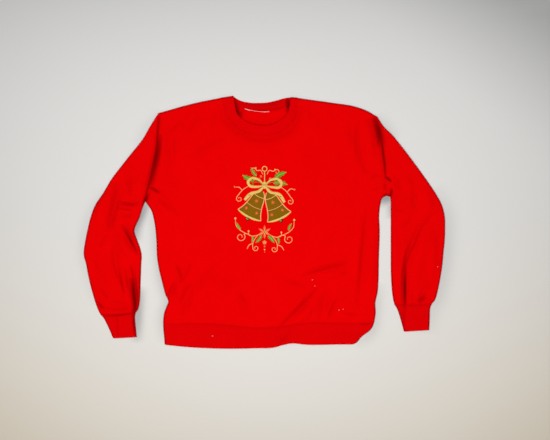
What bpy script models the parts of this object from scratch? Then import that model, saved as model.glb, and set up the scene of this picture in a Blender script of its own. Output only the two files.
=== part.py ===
"""A crew-neck fleece sweatshirt, adult size L, laid flat with its front up.

Metres, +Z up, +Y from the hem to the neck. The origin is the middle of the garment's bounding box, on the
surface that it lies on. Tables and sizes below are in millimetres.

The garment is a set of flattened tubes. Each tube has a lower layer that rests flat and an upper layer that
lies on it, and the two turn into each other over a rolled edge. Panels are parted by SEAM_GAP at their seams.
"""

import math
from collections import namedtuple

import bmesh
import bpy
import numpy as np

MM = 0.001

# Cloth
FLEECE = 2.0  # brushed loopback fleece, one layer
RIB = 3.0  # rib knit, folded double
SEAM_GAP = 0.3
RIB_PITCH = 3.8  # from one rib to the next
RIB_RISE = 0.8  # a rib above the groove beside it

# How the garment lies
EDGE_LEVEL = 3.8  # height of the seams along its rolled edges
EDGE_ROLL = 6.0  # width of a rolled edge, seen from above
LAID_HEIGHT = 6.8  # top of the upper layer where nothing lifts it
LOWEST = 4.8  # the upper layer can't sink below this, because the lower one is under it
EDGE_FULLNESS = 1.8  # beside a rolled edge it stays this much higher still
FULLNESS_WIDTH = 18.0
SOFTENING = 1.2  # so that a trough ends in a soft bottom
FOLD_STEPS = 8
FOLD_FADE = 0.28  # share of a fold's length over which each end fades out
FOLD_REACH = 3.0  # a fold is left out past this many of its spreads
RIB_LIFT = 1.2  # a rib band stands this much higher than the fleece beside it
BAND_EDGE_DROP = 0.7  # rounding at a band's sewn and free edges
NECK_LIFT = 3.6  # the front of the collar stands clear of the back
NECK_LIFT_SPREAD = 70.0
ROLL_STEPS = (0.0, 0.3, 1.0)  # columns in a rolled edge, as shares of its width

# Counts of columns and rows
ARMHOLE_ROWS = 11
BACK_ARMHOLE_ROWS = 6
SIDE_ROWS = 13
UNDERARM_STEPS = (22.0, 12.0, 5.0, 0.0)  # closer rows on each side just below the underarm
FRONT_ROWS = (SIDE_ROWS, ARMHOLE_ROWS)
BACK_ROWS = (SIDE_ROWS, BACK_ARMHOLE_ROWS)
SHOULDER_COLUMNS = (10, 12)
NECKLINE_COLUMNS = 14
FRONT_COLUMNS = sum(SHOULDER_COLUMNS) + NECKLINE_COLUMNS
BACK_SHOULDER_COLUMNS = (4, 5)
BACK_NECKLINE_COLUMNS = 10
ARMHOLE_BOW_ROWS = 5  # sections over which the armhole's curve fades from the sleeve
BACK_COLUMNS = sum(BACK_SHOULDER_COLUMNS) + BACK_NECKLINE_COLUMNS
STRAIGHT_STEPS = 40
CUFF_PLAIN_COLUMNS = 3
HEM_STEP = 2.0
HEM_ROWS = (0.0, 0.4, 0.93, 1.0)  # shares of the band's depth, from its seam
COLLAR_PLAIN_COLUMNS = 18
COLLAR_ROWS = (0.0, 0.5, 1.0)
PLAIN_RETREAT = 1.2  # the collar's hidden faces stay this much further from its seam
SHARP_ANGLE = 62  # degrees: ribs are shaded smooth and cut edges aren't
ON_LINE = 0.05  # a point this close to a line lies on it
TINY = 1e-6

Point = namedtuple("Point", "x y")
CENTRE = Point(-1.5, 2.4)  # the middle of the garment's bounding box in the tables below

# Outlines, seen from above. The wearer's right is the viewer's left; left and right here are the viewer's.
NECK_POINT_LEFT = Point(-107, 314)  # the end of the shoulder, where the collar's seam crosses it
NECK_POINT_RIGHT = Point(83, 313)
NECK_FRONT = Point(-7, 217)  # the lowest point of the front neckline
SHOULDER_LEFT = [  # tip of the shoulder to the collar's free edge
    Point(-267, 275), Point(-242, 282), Point(-207, 292), Point(-167, 302), Point(-122, 311),
    NECK_POINT_LEFT, Point(-79, 318),
]
SHOULDER_RIGHT = [  # the collar's free edge to the tip of the shoulder
    Point(64, 315), NECK_POINT_RIGHT, Point(96, 311), Point(167, 301), Point(227, 291), Point(255, 281),
    Point(281, 266),
]
ARMHOLE_LEFT = [  # underarm to the tip of the shoulder
    Point(-300, 54), Point(-294, 85), Point(-286, 113), Point(-280, 142), Point(-273, 167),
    Point(-269, 207), Point(-270, 245), Point(-267, 275),
]
ARMHOLE_RIGHT = [
    Point(304, 68), Point(305, 100), Point(300, 130), Point(297, 167), Point(292, 205), Point(286, 232),
    Point(281, 266),
]
SIDE_LEFT = [  # hem seam to underarm
    Point(-255, -245), Point(-253, -228), Point(-247, -210), Point(-242, -197), Point(-249, -180),
    Point(-257, -150), Point(-265, -118), Point(-270, -88), Point(-272, -43), Point(-277, 2),
    Point(-285, 32), Point(-300, 54),
]
SIDE_RIGHT = [
    Point(274, -246), Point(277, -225), Point(276, -203), Point(282, -172), Point(284, -143),
    Point(285, -93), Point(287, -18), Point(286, 23), Point(289, 47), Point(294, 63), Point(304, 68),
]
HEM_SEAM = [  # left to right
    Point(-255, -245), Point(-242, -251), Point(-187, -251), Point(-137, -252), Point(-87, -256),
    Point(-47, -261), Point(-7, -262), Point(38, -259), Point(75, -254), Point(105, -250),
    Point(187, -250), Point(265, -249), Point(274, -246),
]
HEM_EDGE = [
    Point(-251, -303), Point(-202, -308), Point(-135, -312), Point(-72, -313), Point(-25, -312),
    Point(25, -310), Point(47, -304), Point(69, -300), Point(99, -303), Point(187, -303), Point(222, -303),
]
HEM_END_LEFT = [Point(-255, -245), Point(-254, -268), Point(-252, -288), Point(-251, -303)]
HEM_END_RIGHT = [
    Point(274, -246), Point(268, -262), Point(259, -272), Point(249, -279), Point(239, -287),
    Point(231, -298), Point(222, -303),
]
NECKLINE_FRONT = [  # neck point to neck point
    NECK_POINT_LEFT, Point(-106, 298), Point(-98, 270), Point(-83, 248), Point(-60, 231),
    Point(-35, 221), NECK_FRONT, Point(24, 221), Point(49, 232), Point(68, 249), Point(79, 271),
    Point(82, 297), NECK_POINT_RIGHT,
]
NECKLINE_BACK = [
    NECK_POINT_LEFT, Point(-106, 303), Point(-98, 296), Point(-82, 290), Point(-55, 284), Point(-22, 280),
    Point(2, 279), Point(28, 283), Point(56, 291), Point(74, 297), Point(81, 303), NECK_POINT_RIGHT,
]
COLLAR_EDGE_FRONT = [  # the collar's free edge
    SHOULDER_LEFT[-1], Point(-76, 300), Point(-68, 271), Point(-56, 260), Point(-40, 251), Point(-24, 246),
    Point(-4, 244), Point(19, 247), Point(36, 256), Point(49, 266), Point(57, 276), Point(61, 292),
    SHOULDER_RIGHT[0],
]
COLLAR_EDGE_BACK = [
    SHOULDER_LEFT[-1], Point(-72, 311), Point(-60, 304), Point(-42, 300), Point(-12, 298), Point(5, 299),
    Point(35, 304), Point(50, 308), Point(58, 312), SHOULDER_RIGHT[0],
]

Section = namedtuple("Section", "outer_x outer_y inner_x inner_y")

# Sleeves: each row is one line across the sleeve, from its outer to its inner edge. The first line of each
# sleeve follows its armhole, and the last one is its cuff seam.
SLEEVE_LEFT = [
    Section(-267, 275, -300, 54),
    Section(-287, 243, -302, 49),
    Section(-307, 209, -305, 42),
    Section(-332, 177, -308, 34),
    Section(-360, 142, -311, 24),
    Section(-385, 109, -315, 12),
    Section(-405, 75, -320, 1),
    Section(-425, 45, -325, -10),
    Section(-437, 13, -327, -22),
    Section(-445, -20, -322, -38),
    Section(-451, -50, -314, -59),
    Section(-454, -78, -309, -80),
    Section(-448, -103, -310, -102),
    Section(-443, -130, -311, -130),
    Section(-436, -160, -312, -158),
    Section(-427, -192, -313, -190),
    Section(-419, -215, -317, -214),
    Section(-412, -229, -324, -225),
]
SLEEVE_RIGHT = [
    Section(281, 266, 304, 68),
    Section(298, 241, 309, 67),
    Section(320, 219, 313, 65),
    Section(342, 192, 315, 57),
    Section(365, 162, 315, 45),
    Section(388, 131, 315, 30),
    Section(408, 103, 315, 15),
    Section(426, 76, 315, 0),
    Section(442, 47, 315, -15),
    Section(450, 17, 315, -31),
    Section(451, -13, 315, -48),
    Section(450, -43, 315, -66),
    Section(447, -73, 315, -88),
    Section(444, -105, 315, -112),
    Section(439, -138, 316, -140),
    Section(432, -172, 318, -170),
    Section(426, -192, 321, -191),
    Section(418, -202, 324, -203),
]
# Cuffs: each row is a line across the cuff below its seam.
CUFF_LEFT = [
    Section(-403, -239, -326, -237),
    Section(-391, -263, -324, -262),
    Section(-382, -284, -322, -282),
    Section(-380, -288, -321, -285),
]
CUFF_RIGHT = [
    Section(413, -214, 333, -219),
    Section(412, -240, 341, -245),
    Section(411, -263, 347, -267),
    Section(411, -267, 348, -271),
]

Fold = namedtuple("Fold", "x0 y0 bend_x bend_y x1 y1 rise spread")

# The largest folds of the upper layer: soft ridges (rise above 0) and troughs (below 0) from one end past a
# bend to the other end. The rise is at the crest, halfway, and the spread is the half width.
BODY_FOLDS = [
    Fold(112, -146, 84, -196, 36, -238, 5.0, 15),
    Fold(122, -158, 96, -204, 35, -262, -5.5, 9),
    Fold(136, -176, 108, -218, 62, -258, 6.0, 12),
    Fold(90, -108, 150, -98, 212, -80, 4.0, 14),
    Fold(86, -124, 150, -115, 216, -98, -4.0, 9),
    Fold(138, -134, 176, -127, 214, -118, 3.0, 12),
    Fold(253, 52, 250, -90, 231, -220, -4.5, 11),
    Fold(270, 30, 267, -95, 250, -225, 4.5, 11),
    Fold(237, 40, 234, -80, 216, -195, 3.0, 16),
    Fold(162, -174, 146, -208, 135, -236, -3.5, 9),
    Fold(180, -176, 166, -208, 152, -242, 4.5, 10),
    Fold(174, -206, 167, -226, 158, -250, -3.0, 8),
    Fold(224, -200, 210, -222, 192, -240, 3.0, 12),
    Fold(242, 268, 234, 205, 248, 134, -4.5, 10),
    Fold(262, 258, 262, 205, 270, 140, 5.0, 12),
    Fold(220, 270, 212, 205, 218, 140, 3.5, 16),
    Fold(-220, -106, -214, -128, -206, -150, -3.0, 10),
    Fold(-224, -142, -232, -164, -244, -190, -3.5, 9),
    Fold(-204, -120, -214, -165, -228, -208, 4.5, 13),
    Fold(-187, -152, -193, -190, -204, -228, -3.0, 10),
    Fold(-170, -142, -176, -186, -184, -232, 3.0, 13),
    Fold(-290, 90, -262, 76, -224, 32, -4.0, 10),
    Fold(-284, 64, -262, 44, -236, 8, 4.5, 12),
    Fold(-266, 104, -236, 88, -206, 52, 4.0, 13),
    Fold(-64, -172, -52, -208, -37, -244, -2.5, 12),
    Fold(-84, -174, -72, -208, -58, -244, 2.5, 13),
    Fold(-245, 222, -244, 166, -247, 110, -3.0, 11),
    Fold(-262, 220, -260, 172, -264, 124, 3.0, 9),
    Fold(-226, 236, -222, 172, -224, 110, 3.0, 14),
    Fold(-138, 292, -134, 268, -130, 240, -2.0, 12),
    Fold(-130, 190, -130, 20, -142, -150, 2.5, 62),
    Fold(140, 190, 142, 50, 120, -80, 2.5, 62),
]
ARMHOLE_FOLDS = [
    Fold(-266, 296, -270, 186, -302, 34, -5.0, 9),
    Fold(278, 290, 298, 170, 306, 44, -5.0, 9),
]
SLEEVE_LEFT_FOLDS = [
    Fold(-300, 208, -334, 160, -356, 112, 4.5, 24),
    Fold(-352, 138, -345, 104, -340, 70, -4.0, 11),
    Fold(-326, 132, -320, 104, -317, 72, 4.0, 14),
    Fold(-364, 88, -380, 42, -402, -20, -5.0, 10),
    Fold(-388, 88, -410, 44, -428, 0, 5.0, 13),
    Fold(-360, 74, -366, 26, -380, -28, 4.0, 12),
    Fold(-366, 52, -338, 53, -308, 51, -3.5, 8),
    Fold(-374, 37, -344, 37, -312, 35, 3.5, 8),
    Fold(-374, 22, -350, 21, -326, 22, -3.5, 8),
    Fold(-358, -6, -338, -42, -310, -86, -5.5, 9),
    Fold(-344, 4, -328, -24, -312, -52, 5.0, 11),
    Fold(-374, -24, -352, -62, -328, -98, 6.5, 14),
    Fold(-380, -56, -375, -116, -353, -178, -5.0, 10),
    Fold(-404, -30, -398, -112, -378, -194, 6.0, 15),
    Fold(-354, -100, -350, -144, -342, -192, 6.5, 12),
    Fold(-334, -98, -330, -160, -324, -236, -6.0, 8),
    Fold(-320, -94, -318, -150, -318, -212, 3.5, 8),
    Fold(-392, -206, -360, -207, -328, -206, -3.5, 8),
]
SLEEVE_RIGHT_FOLDS = [
    Fold(312, 202, 348, 160, 376, 106, 4.5, 26),
    Fold(326, 118, 333, 102, 342, 86, -4.0, 10),
    Fold(346, 126, 354, 104, 361, 78, 3.5, 13),
    Fold(376, 98, 377, 66, 375, 30, -4.0, 10),
    Fold(394, 92, 406, 60, 415, 18, 5.0, 14),
    Fold(352, 78, 352, 42, 349, 4, 3.5, 16),
    Fold(416, 16, 366, -58, 350, -212, -6.0, 11),
    Fold(424, -8, 388, -78, 371, -196, 6.5, 15),
    Fold(372, 6, 342, -72, 331, -190, 5.5, 13),
    Fold(426, -50, 421, -96, 411, -146, 3.5, 12),
    Fold(388, -194, 399, -178, 409, -160, -4.0, 9),
]
HEM_FOLDS = [
    Fold(-262, -248, -100, -257, 45, -264, -1.6, 9),
    Fold(20, -266, 120, -250, 285, -248, -1.6, 9),
    Fold(62, -276, 46, -292, 30, -308, -3.0, 9),
    Fold(88, -272, 74, -288, 56, -304, 3.0, 11),
    Fold(210, -264, 222, -282, 234, -300, 2.5, 12),
]
FOLDS = BODY_FOLDS + ARMHOLE_FOLDS + SLEEVE_LEFT_FOLDS + SLEEVE_RIGHT_FOLDS + HEM_FOLDS

# The neck label: a blank woven strip whose edge shows at the back neck seam
LABEL_START = 71.0  # along the back neckline from the left neck point
LABEL_LENGTH = 62.0
LABEL_DEPTH = 4.0
LABEL_GAP = 0.5
LABEL_THICKNESS = 0.6
LABEL_COLUMNS = 6

Finish = namedtuple("Finish", "name colour roughness")
FLEECE_FINISH = Finish("Red cotton fleece", (0.83, 0.004, 0.008), 0.95)
RIB_FINISH = Finish("Red rib knit", (0.76, 0.003, 0.007), 0.92)
LABEL_FINISH = Finish("White woven label", (0.80, 0.80, 0.78), 0.80)

COLLECTION = "Crew-neck sweatshirt"


# Lines

def arc(line):
    """The length along a line at each of its points."""
    return np.concatenate([[0.0], np.cumsum(np.linalg.norm(np.diff(line, axis=0), axis=1))])


def smooth(points, step=2.0):
    """A smooth line through the points, each span a cubic, cut into short steps."""
    line = np.array(points, float)
    ends = arc(line)
    slope = np.gradient(line, ends, axis=0)
    places = np.linspace(0, ends[-1], int(ends[-1] / step) + 2)
    span = np.clip(np.searchsorted(ends, places, side="right") - 1, 0, len(ends) - 2)
    size = (ends[span + 1] - ends[span])[:, None]
    t = (places - ends[span])[:, None] / size
    return (
        (2 * t**3 - 3 * t**2 + 1) * line[span]
        + (t**3 - 2 * t**2 + t) * size * slope[span]
        + (3 * t**2 - 2 * t**3) * line[span + 1]
        + (t**3 - t**2) * size * slope[span + 1]
    )


def along(line, lengths):
    """The points of a line at the given lengths along it."""
    places = arc(line)
    return np.stack([np.interp(lengths, places, line[:, k]) for k in range(line.shape[1])], axis=1)


def rolled_steps(length, count):
    """Lengths across a layer: close together in the two rolled edges, and count even spans between them."""
    edge = EDGE_ROLL * np.array(ROLL_STEPS)
    middle = np.linspace(EDGE_ROLL, length - EDGE_ROLL, count + 1)[1:-1]
    return np.concatenate([edge, middle, length - edge[::-1]])


def ribbed_steps(length, count):
    """Lengths across a ribbed layer, even over its rolled edges too, which are longer than they are wide."""
    turn = math.pi / 2 * EDGE_ROLL
    places = np.linspace(0, length - 2 * EDGE_ROLL + 2 * turn, count + 1)
    far = places[-1] - places
    near = np.minimum(places, far)
    rolled = EDGE_ROLL * (1 - np.cos(np.minimum(near / turn, 1) * math.pi / 2))
    depth = np.where(near < turn, rolled, near - turn + EDGE_ROLL)
    return np.where(places <= far, depth, length - depth)


# Height of the cloth

def fold_lift(points, fold):
    """How far a fold raises the cloth at each point: a soft ridge or trough that fades out at both ends."""
    start = np.array([fold.x0, fold.y0], float)
    stop = np.array([fold.x1, fold.y1], float)
    pull = 2 * np.array([fold.bend_x, fold.bend_y], float) - (start + stop) / 2
    t = np.linspace(0, 1, FOLD_STEPS + 1)[:, None]
    line = (1 - t) ** 2 * start + 2 * t * (1 - t) * pull + t**2 * stop
    nearest_off = np.full(len(points), np.inf)
    place = np.zeros(len(points))
    for step in range(FOLD_STEPS):
        run = line[step + 1] - line[step]
        reached = np.clip((points - line[step]) @ run / (run @ run), 0, 1)
        off = np.linalg.norm(points - line[step] - reached[:, None] * run, axis=1)
        closer = off < nearest_off
        nearest_off[closer] = off[closer]
        place[closer] = (step + reached[closer]) / FOLD_STEPS
    inside = np.minimum(np.minimum(place, 1 - place) / FOLD_FADE, 1)
    return fold.rise * inside**2 * (3 - 2 * inside) * np.exp(-((nearest_off / fold.spread) ** 2))


def height(points):
    """The top of the upper layer above the surface it lies on, at points seen from above."""
    lift = np.full(len(points), LAID_HEIGHT - LOWEST)
    for fold in FOLDS:
        ends = np.array([[fold.x0, fold.y0], [fold.bend_x, fold.bend_y], [fold.x1, fold.y1]], float)
        room = FOLD_REACH * fold.spread
        near = np.all((points > ends.min(axis=0) - room) & (points < ends.max(axis=0) + room), axis=1)
        lift[near] += fold_lift(points[near], fold)
    middle = np.mean(np.array([NECK_POINT_LEFT, NECK_POINT_RIGHT, NECK_FRONT], float), axis=0)
    from_neck = np.linalg.norm(points - middle, axis=1) / NECK_LIFT_SPREAD
    lift += NECK_LIFT * np.exp(-(from_neck**2))
    return LOWEST + (lift + np.sqrt(lift**2 + SOFTENING**2)) / 2


def nearest(points, lines):
    """Distance from each point to the nearest of the lines, and the direction towards it."""
    best = np.full(len(points), np.inf)
    towards = np.zeros((len(points), 2))
    for line in lines:
        for start, end in zip(line[:-1], line[1:]):
            run = end - start
            share = np.clip((points - start) @ run / (run @ run), 0, 1)
            way = start + share[:, None] * run - points
            size = np.linalg.norm(way, axis=1)
            square = np.tile([-run[1], run[0]] / np.linalg.norm(run), (len(points), 1))
            on_line = size < ON_LINE
            direction = np.where(on_line[:, None], square, way / np.maximum(size, ON_LINE)[:, None])
            closer = size < best - TINY
            best[closer] = size[closer]
            towards[closer] = direction[closer]
    return best, towards


def roll(distance):
    """Cosine and sine of the angle through which a rolled edge has turned at a distance from the edge."""
    cosine = np.clip(1 - distance / EDGE_ROLL, 0, 1)
    return cosine, np.sqrt(1 - cosine**2)


def layer(points, distance, outwards, level, upper, lift=0.0):
    """The outer points of a layer and their normals. An edge lies at level, a flat stretch at 0 or on top."""
    cosine, sine = roll(distance)
    full = LOWEST + EDGE_FULLNESS * np.clip(1 - distance / FULLNESS_WIDTH, 0, 1)
    top = np.maximum(height(points), full) + lift
    rise = level + (top - level) * sine if upper else level * (1 - sine)
    side = 1 if upper else -1
    normal = np.column_stack([outwards * cosine[:, None], side * sine])
    return np.column_stack([points, rise]), normal


# Solids

def fill(bm, grid, closed, flip):
    """Quads over a grid of vertices, closed round its columns or not."""
    for low, high in zip(grid[:-1], grid[1:]):
        count = len(low)
        for c in range(count if closed else count - 1):
            quad = [low[c], low[(c + 1) % count], high[(c + 1) % count], high[c]]
            bm.faces.new(quad[::-1] if flip else quad)


def zip_up(bm, line, places, other, other_places):
    """Triangles between two lines of vertices with unlike spacing, by their places from 0 on."""
    i = 0
    j = 0
    while i < len(line) - 1 or j < len(other) - 1:
        take_first = j == len(other) - 1 or (i < len(line) - 1 and places[i + 1] <= other_places[j + 1])
        if take_first:
            bm.faces.new([line[i], line[i + 1], other[j]])
            i += 1
        else:
            bm.faces.new([line[i], other[j + 1], other[j]])
            j += 1


def new_object(name, bm, finish):
    """An object with the mesh that bm holds, in millimetres, and its own material."""
    bmesh.ops.recalc_face_normals(bm, faces=bm.faces[:])
    bmesh.ops.translate(bm, vec=(-CENTRE.x, -CENTRE.y, 0), verts=bm.verts[:])
    bmesh.ops.scale(bm, vec=(MM, MM, MM), verts=bm.verts[:])
    mesh = bpy.data.meshes.new(name)
    bm.to_mesh(mesh)
    bm.free()
    mesh.shade_smooth()
    mesh.set_sharp_from_angle(angle=math.radians(SHARP_ANGLE))
    material = bpy.data.materials.new(f"{finish.name} {name}")
    material.use_nodes = True
    shader = material.node_tree.nodes["Principled BSDF"]
    shader.inputs["Base Color"].default_value = (*finish.colour, 1)
    shader.inputs["Roughness"].default_value = finish.roughness
    shader.inputs["Metallic"].default_value = 0.0
    mesh.materials.append(material)
    part = bpy.data.objects.new(name, mesh)
    bpy.data.collections[COLLECTION].objects.link(part)
    return part


def sheet_solid(name, outer, inner, finish):
    """A wall with four cut edges between two grids of points of one size."""
    bm = bmesh.new()
    rows, columns = outer.shape[:2]
    face = [[bm.verts.new(p) for p in row] for row in outer]
    back = [[bm.verts.new(p) for p in row] for row in inner]
    fill(bm, face, closed=False, flip=False)
    fill(bm, back, closed=False, flip=True)
    rim = [(0, c) for c in range(columns)]
    rim += [(r, columns - 1) for r in range(1, rows)]
    rim += [(rows - 1, c) for c in range(columns - 2, -1, -1)]
    rim += [(r, 0) for r in range(rows - 2, -1, -1)]
    for (r0, c0), (r1, c1) in zip(rim[:-1], rim[1:]):
        bm.faces.new([face[r1][c1], face[r0][c0], back[r0][c0], back[r1][c1]])
    return new_object(name, bm, finish)


def tube_solid(name, outer, outer_places, inner, inner_places, finish):
    """A wall closed round its columns, open at its first and last rows, which are cut edges."""
    bm = bmesh.new()
    face = [[bm.verts.new(p) for p in row] for row in outer]
    lining = [[bm.verts.new(p) for p in row] for row in inner]
    fill(bm, face, closed=True, flip=False)
    fill(bm, lining, closed=True, flip=True)
    turn = 2.0
    for end in (0, -1):
        line = face[end] + face[end][:1]
        other = lining[end] + lining[end][:1]
        zip_up(bm, line, [*outer_places, turn], other, [*inner_places, turn])
    return new_object(name, bm, finish)


# Panels

def patch(bottom, top, left, right):
    """A grid of points between four lines: bottom and top from left to right, left and right upwards."""
    u = (share(bottom[:, 0]) + share(top[:, 0]))[None, :, None] / 2
    v = (share(left[:, 1]) + share(right[:, 1]))[:, None, None] / 2
    corners = (
        (1 - u) * (1 - v) * bottom[0] + u * (1 - v) * bottom[-1] + (1 - u) * v * top[0] + u * v * top[-1]
    )
    return (
        (1 - v) * bottom[None] + v * top[None] + (1 - u) * left[:, None] + u * right[:, None] - corners
    )


def share(values):
    """Values as shares of the way from the first to the last."""
    return (values - values[0]) / (values[-1] - values[0])


def shoulder_line(points, neck_point):
    """The part of a shoulder's rolled edge between its tip and the collar seam."""
    line = smooth(points)
    reach = np.linalg.norm(line - np.array(neck_point, float), axis=1).argmin()
    return line[: reach + 1] if neck_point == NECK_POINT_LEFT else line[reach:]


def side_line(side, armhole, side_rows, armhole_rows):
    """One side of a panel from the hem seam past the underarm to the tip of the shoulder."""
    seam = smooth(side)
    hole = smooth(armhole)
    length = arc(seam)[-1]
    even = np.linspace(0, length - UNDERARM_STEPS[0], side_rows + 1)
    lower = along(seam, np.concatenate([even, length - np.array(UNDERARM_STEPS[1:])]))
    upper = along(hole, rolled_steps(arc(hole)[-1], armhole_rows))
    return np.vstack([lower, upper[1:]])


def neck_seam(neckline, columns):
    """The neckline as a panel's columns cut it, which the collar follows."""
    neck = smooth(neckline)
    length = arc(neck)[-1]
    middle = np.linspace(EDGE_ROLL, length - EDGE_ROLL, columns - 1)
    return along(neck, np.concatenate([[0.0], middle, [length]]))


def top_line(neckline, shoulder_columns, neckline_columns):
    """The top of a panel: a shoulder, the neckline and the other shoulder."""
    first = shoulder_line(SHOULDER_LEFT, NECK_POINT_LEFT)
    last = shoulder_line(SHOULDER_RIGHT, NECK_POINT_RIGHT)
    edge = EDGE_ROLL * np.array(ROLL_STEPS)
    start = np.concatenate([edge, np.linspace(EDGE_ROLL, arc(first)[-1], shoulder_columns[0] + 1)[1:]])
    length = arc(last)[-1]
    even = np.linspace(0, length - EDGE_ROLL, shoulder_columns[1] + 1)
    stop = np.concatenate([even, length - edge[-2::-1]])
    return np.vstack([
        along(first, start)[:-1],
        neck_seam(neckline, neckline_columns)[:-1],
        along(last, stop),
    ])


def panel(name, neckline, rows, shoulder_columns, neckline_columns, upper):
    """A body panel, front or back, from the hem seam to the shoulders."""
    left = side_line(SIDE_LEFT, ARMHOLE_LEFT, *rows)
    right = side_line(SIDE_RIGHT, ARMHOLE_RIGHT, *rows)
    top = top_line(neckline, shoulder_columns, neckline_columns)
    seam = smooth(HEM_SEAM)
    bottom = along(seam, rolled_steps(arc(seam)[-1], len(top) - 2 * len(ROLL_STEPS) + 1))
    grid = patch(bottom, top, left, right)
    flat = grid.reshape(-1, 2)
    underarm = rows[0] + len(UNDERARM_STEPS) - 1
    rolled = [left[: underarm + 1], right[underarm:: -1]]
    rolled += [top[: shoulder_columns[0] + len(ROLL_STEPS)], top[-shoulder_columns[1] - len(ROLL_STEPS):]]
    distance, outwards = nearest(flat, rolled)
    half_gap = SEAM_GAP / 2 if upper else -SEAM_GAP / 2
    outer, normal = layer(flat, distance, outwards, EDGE_LEVEL + half_gap, upper)
    inner = outer - FLEECE * normal
    size = (*grid.shape[:2], 3)
    return sheet_solid(name, outer.reshape(size), inner.reshape(size), FLEECE_FINISH)


# Sleeves, cuffs and the hem band

def ring(top_line, floor_line, top_steps, floor_steps, wall, lift=0.0, proud=0.0):
    """One section of a flattened tube: its outer and inner points, round its upper and then its lower layer.

    The lines run across the tube from one rolled edge to the other, seen from above. The upper layer runs
    along its line and the lower one comes back. The upper layer's outer points stand proud by the ribs.
    """
    outer_points = []
    inner_points = []
    for line, steps, upper in ((top_line, top_steps, True), (floor_line, floor_steps[-2:0:-1], False)):
        length = arc(line)[-1]
        first = (line[0] - line[1]) / np.linalg.norm(line[0] - line[1])
        last = (line[-1] - line[-2]) / np.linalg.norm(line[-1] - line[-2])
        points = along(line, steps)
        outwards = np.where((steps < length / 2)[:, None], first, last)
        distance = np.minimum(steps, length - steps)
        plain, normal = layer(points, distance, outwards, EDGE_LEVEL, upper, lift)
        ribs = np.reshape(proud if upper else 0.0, (-1, 1))
        outer_points.append(plain + ribs * normal)
        inner_points.append(plain - wall * normal)
    return np.vstack(outer_points), np.vstack(inner_points)


def places_round(top_steps, floor_steps):
    """Places round a section, from 0 to 1 over the upper layer and on towards 2 over the lower one."""
    return np.concatenate([top_steps / top_steps[-1], 1 + share(floor_steps)[1:-1]])


def sleeve(name, sections, armhole, side):
    """A sleeve from the armhole to the cuff seam. Its first section follows the armhole."""
    hole = smooth(armhole)[::-1]
    tangent = np.gradient(hole, axis=0)
    square = side * np.column_stack([-tangent[:, 1], tangent[:, 0]])
    hole = hole + SEAM_GAP * square / np.linalg.norm(square, axis=1)[:, None]
    chord = straight(sections[0])
    bow = along(hole, np.linspace(0, arc(hole)[-1], len(chord))) - chord
    outer = []
    inner = []
    for row, section in enumerate(sections):
        fade = max(0.0, 1 - row / ARMHOLE_BOW_ROWS) ** 2
        line = hole if row == 0 else straight(section) + fade * bow
        top_steps = rolled_steps(arc(line)[-1], ARMHOLE_ROWS)
        floor_steps = rolled_steps(arc(line)[-1], BACK_ARMHOLE_ROWS)
        outside, inside = ring(line, line, top_steps, floor_steps, FLEECE)
        outer.append(outside)
        inner.append(inside)
    places = places_round(top_steps, floor_steps)
    return tube_solid(name, outer, places, inner, places, FLEECE_FINISH)


def straight(section):
    """The line across a tube at a section, cut into short steps."""
    t = np.linspace(0, 1, STRAIGHT_STEPS + 1)[:, None]
    first = np.array([section.outer_x, section.outer_y], float)
    last = np.array([section.inner_x, section.inner_y], float)
    return (1 - t) * first + t * last


def rib_columns(length):
    """Columns over a ribbed length, an odd number with one line for each rib and each groove."""
    return 2 * round(length / RIB_PITCH) + 1


def rib_heights(columns):
    """How far a ribbed layer stands proud at each of its lines."""
    return np.where(np.arange(columns + 1) % 2, RIB_RISE / 2, -RIB_RISE / 2)


def edge_drop(row, rows):
    """The rounding of a band at its sewn and free edges."""
    return BAND_EDGE_DROP if row in (0, len(rows) - 1) else 0.0


def rib_band(name, top_lines, floor_lines, lining_columns, floor_columns):
    """A tube of doubled rib through lines across it, with ribs on its upper layer and a plain underside."""
    columns = rib_columns(max(arc(line)[-1] for line in top_lines))
    ribs = rib_heights(columns)
    outer = []
    inner = []
    for row, (line, floor) in enumerate(zip(top_lines, floor_lines)):
        fine = ribbed_steps(arc(line)[-1], columns)
        lining = rolled_steps(arc(line)[-1], lining_columns)
        underside = rolled_steps(arc(floor)[-1], floor_columns)
        lift = RIB_LIFT - edge_drop(row, top_lines)
        outer.append(ring(line, floor, fine, underside, RIB, lift, ribs)[0])
        inner.append(ring(line, floor, lining, underside, RIB, lift)[1])
    outer_places = places_round(fine, underside)
    inner_places = places_round(lining, underside)
    return tube_solid(name, outer, outer_places, inner, inner_places, RIB_FINISH)


def cuff(name, sections, sleeve_end):
    """The rib band round a wrist, from the end of its sleeve."""
    sewn = straight(sleeve_end) - [0, SEAM_GAP]
    lines = [sewn] + [straight(row) for row in sections]
    return rib_band(name, lines, lines, CUFF_PLAIN_COLUMNS, CUFF_PLAIN_COLUMNS)


def hem_band():
    """The rib band round the hem, from its seam to its free edge, each layer along its own panel."""
    seam = smooth(HEM_SEAM)
    edge = smooth(HEM_EDGE)
    left = smooth(HEM_END_LEFT)
    right = smooth(HEM_END_RIGHT)
    even = np.linspace(0, 1, round(arc(seam)[-1] / HEM_STEP) + 1)
    rows = np.array(HEM_ROWS)
    layers = []
    for columns in (FRONT_COLUMNS, BACK_COLUMNS):
        sewn = along(seam, rolled_steps(arc(seam)[-1], columns)) - [0, SEAM_GAP]
        grid = patch(
            along(edge, even * arc(edge)[-1]),
            along(sewn, even * arc(sewn)[-1]),
            along(left, rows * arc(left)[-1])[::-1] - [0, SEAM_GAP],
            along(right, rows * arc(right)[-1])[::-1] - [0, SEAM_GAP],
        )
        layers.append(list(grid[::-1]))
    return rib_band("hem_band", *layers, FRONT_COLUMNS, BACK_COLUMNS)


# Collar and label

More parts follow.
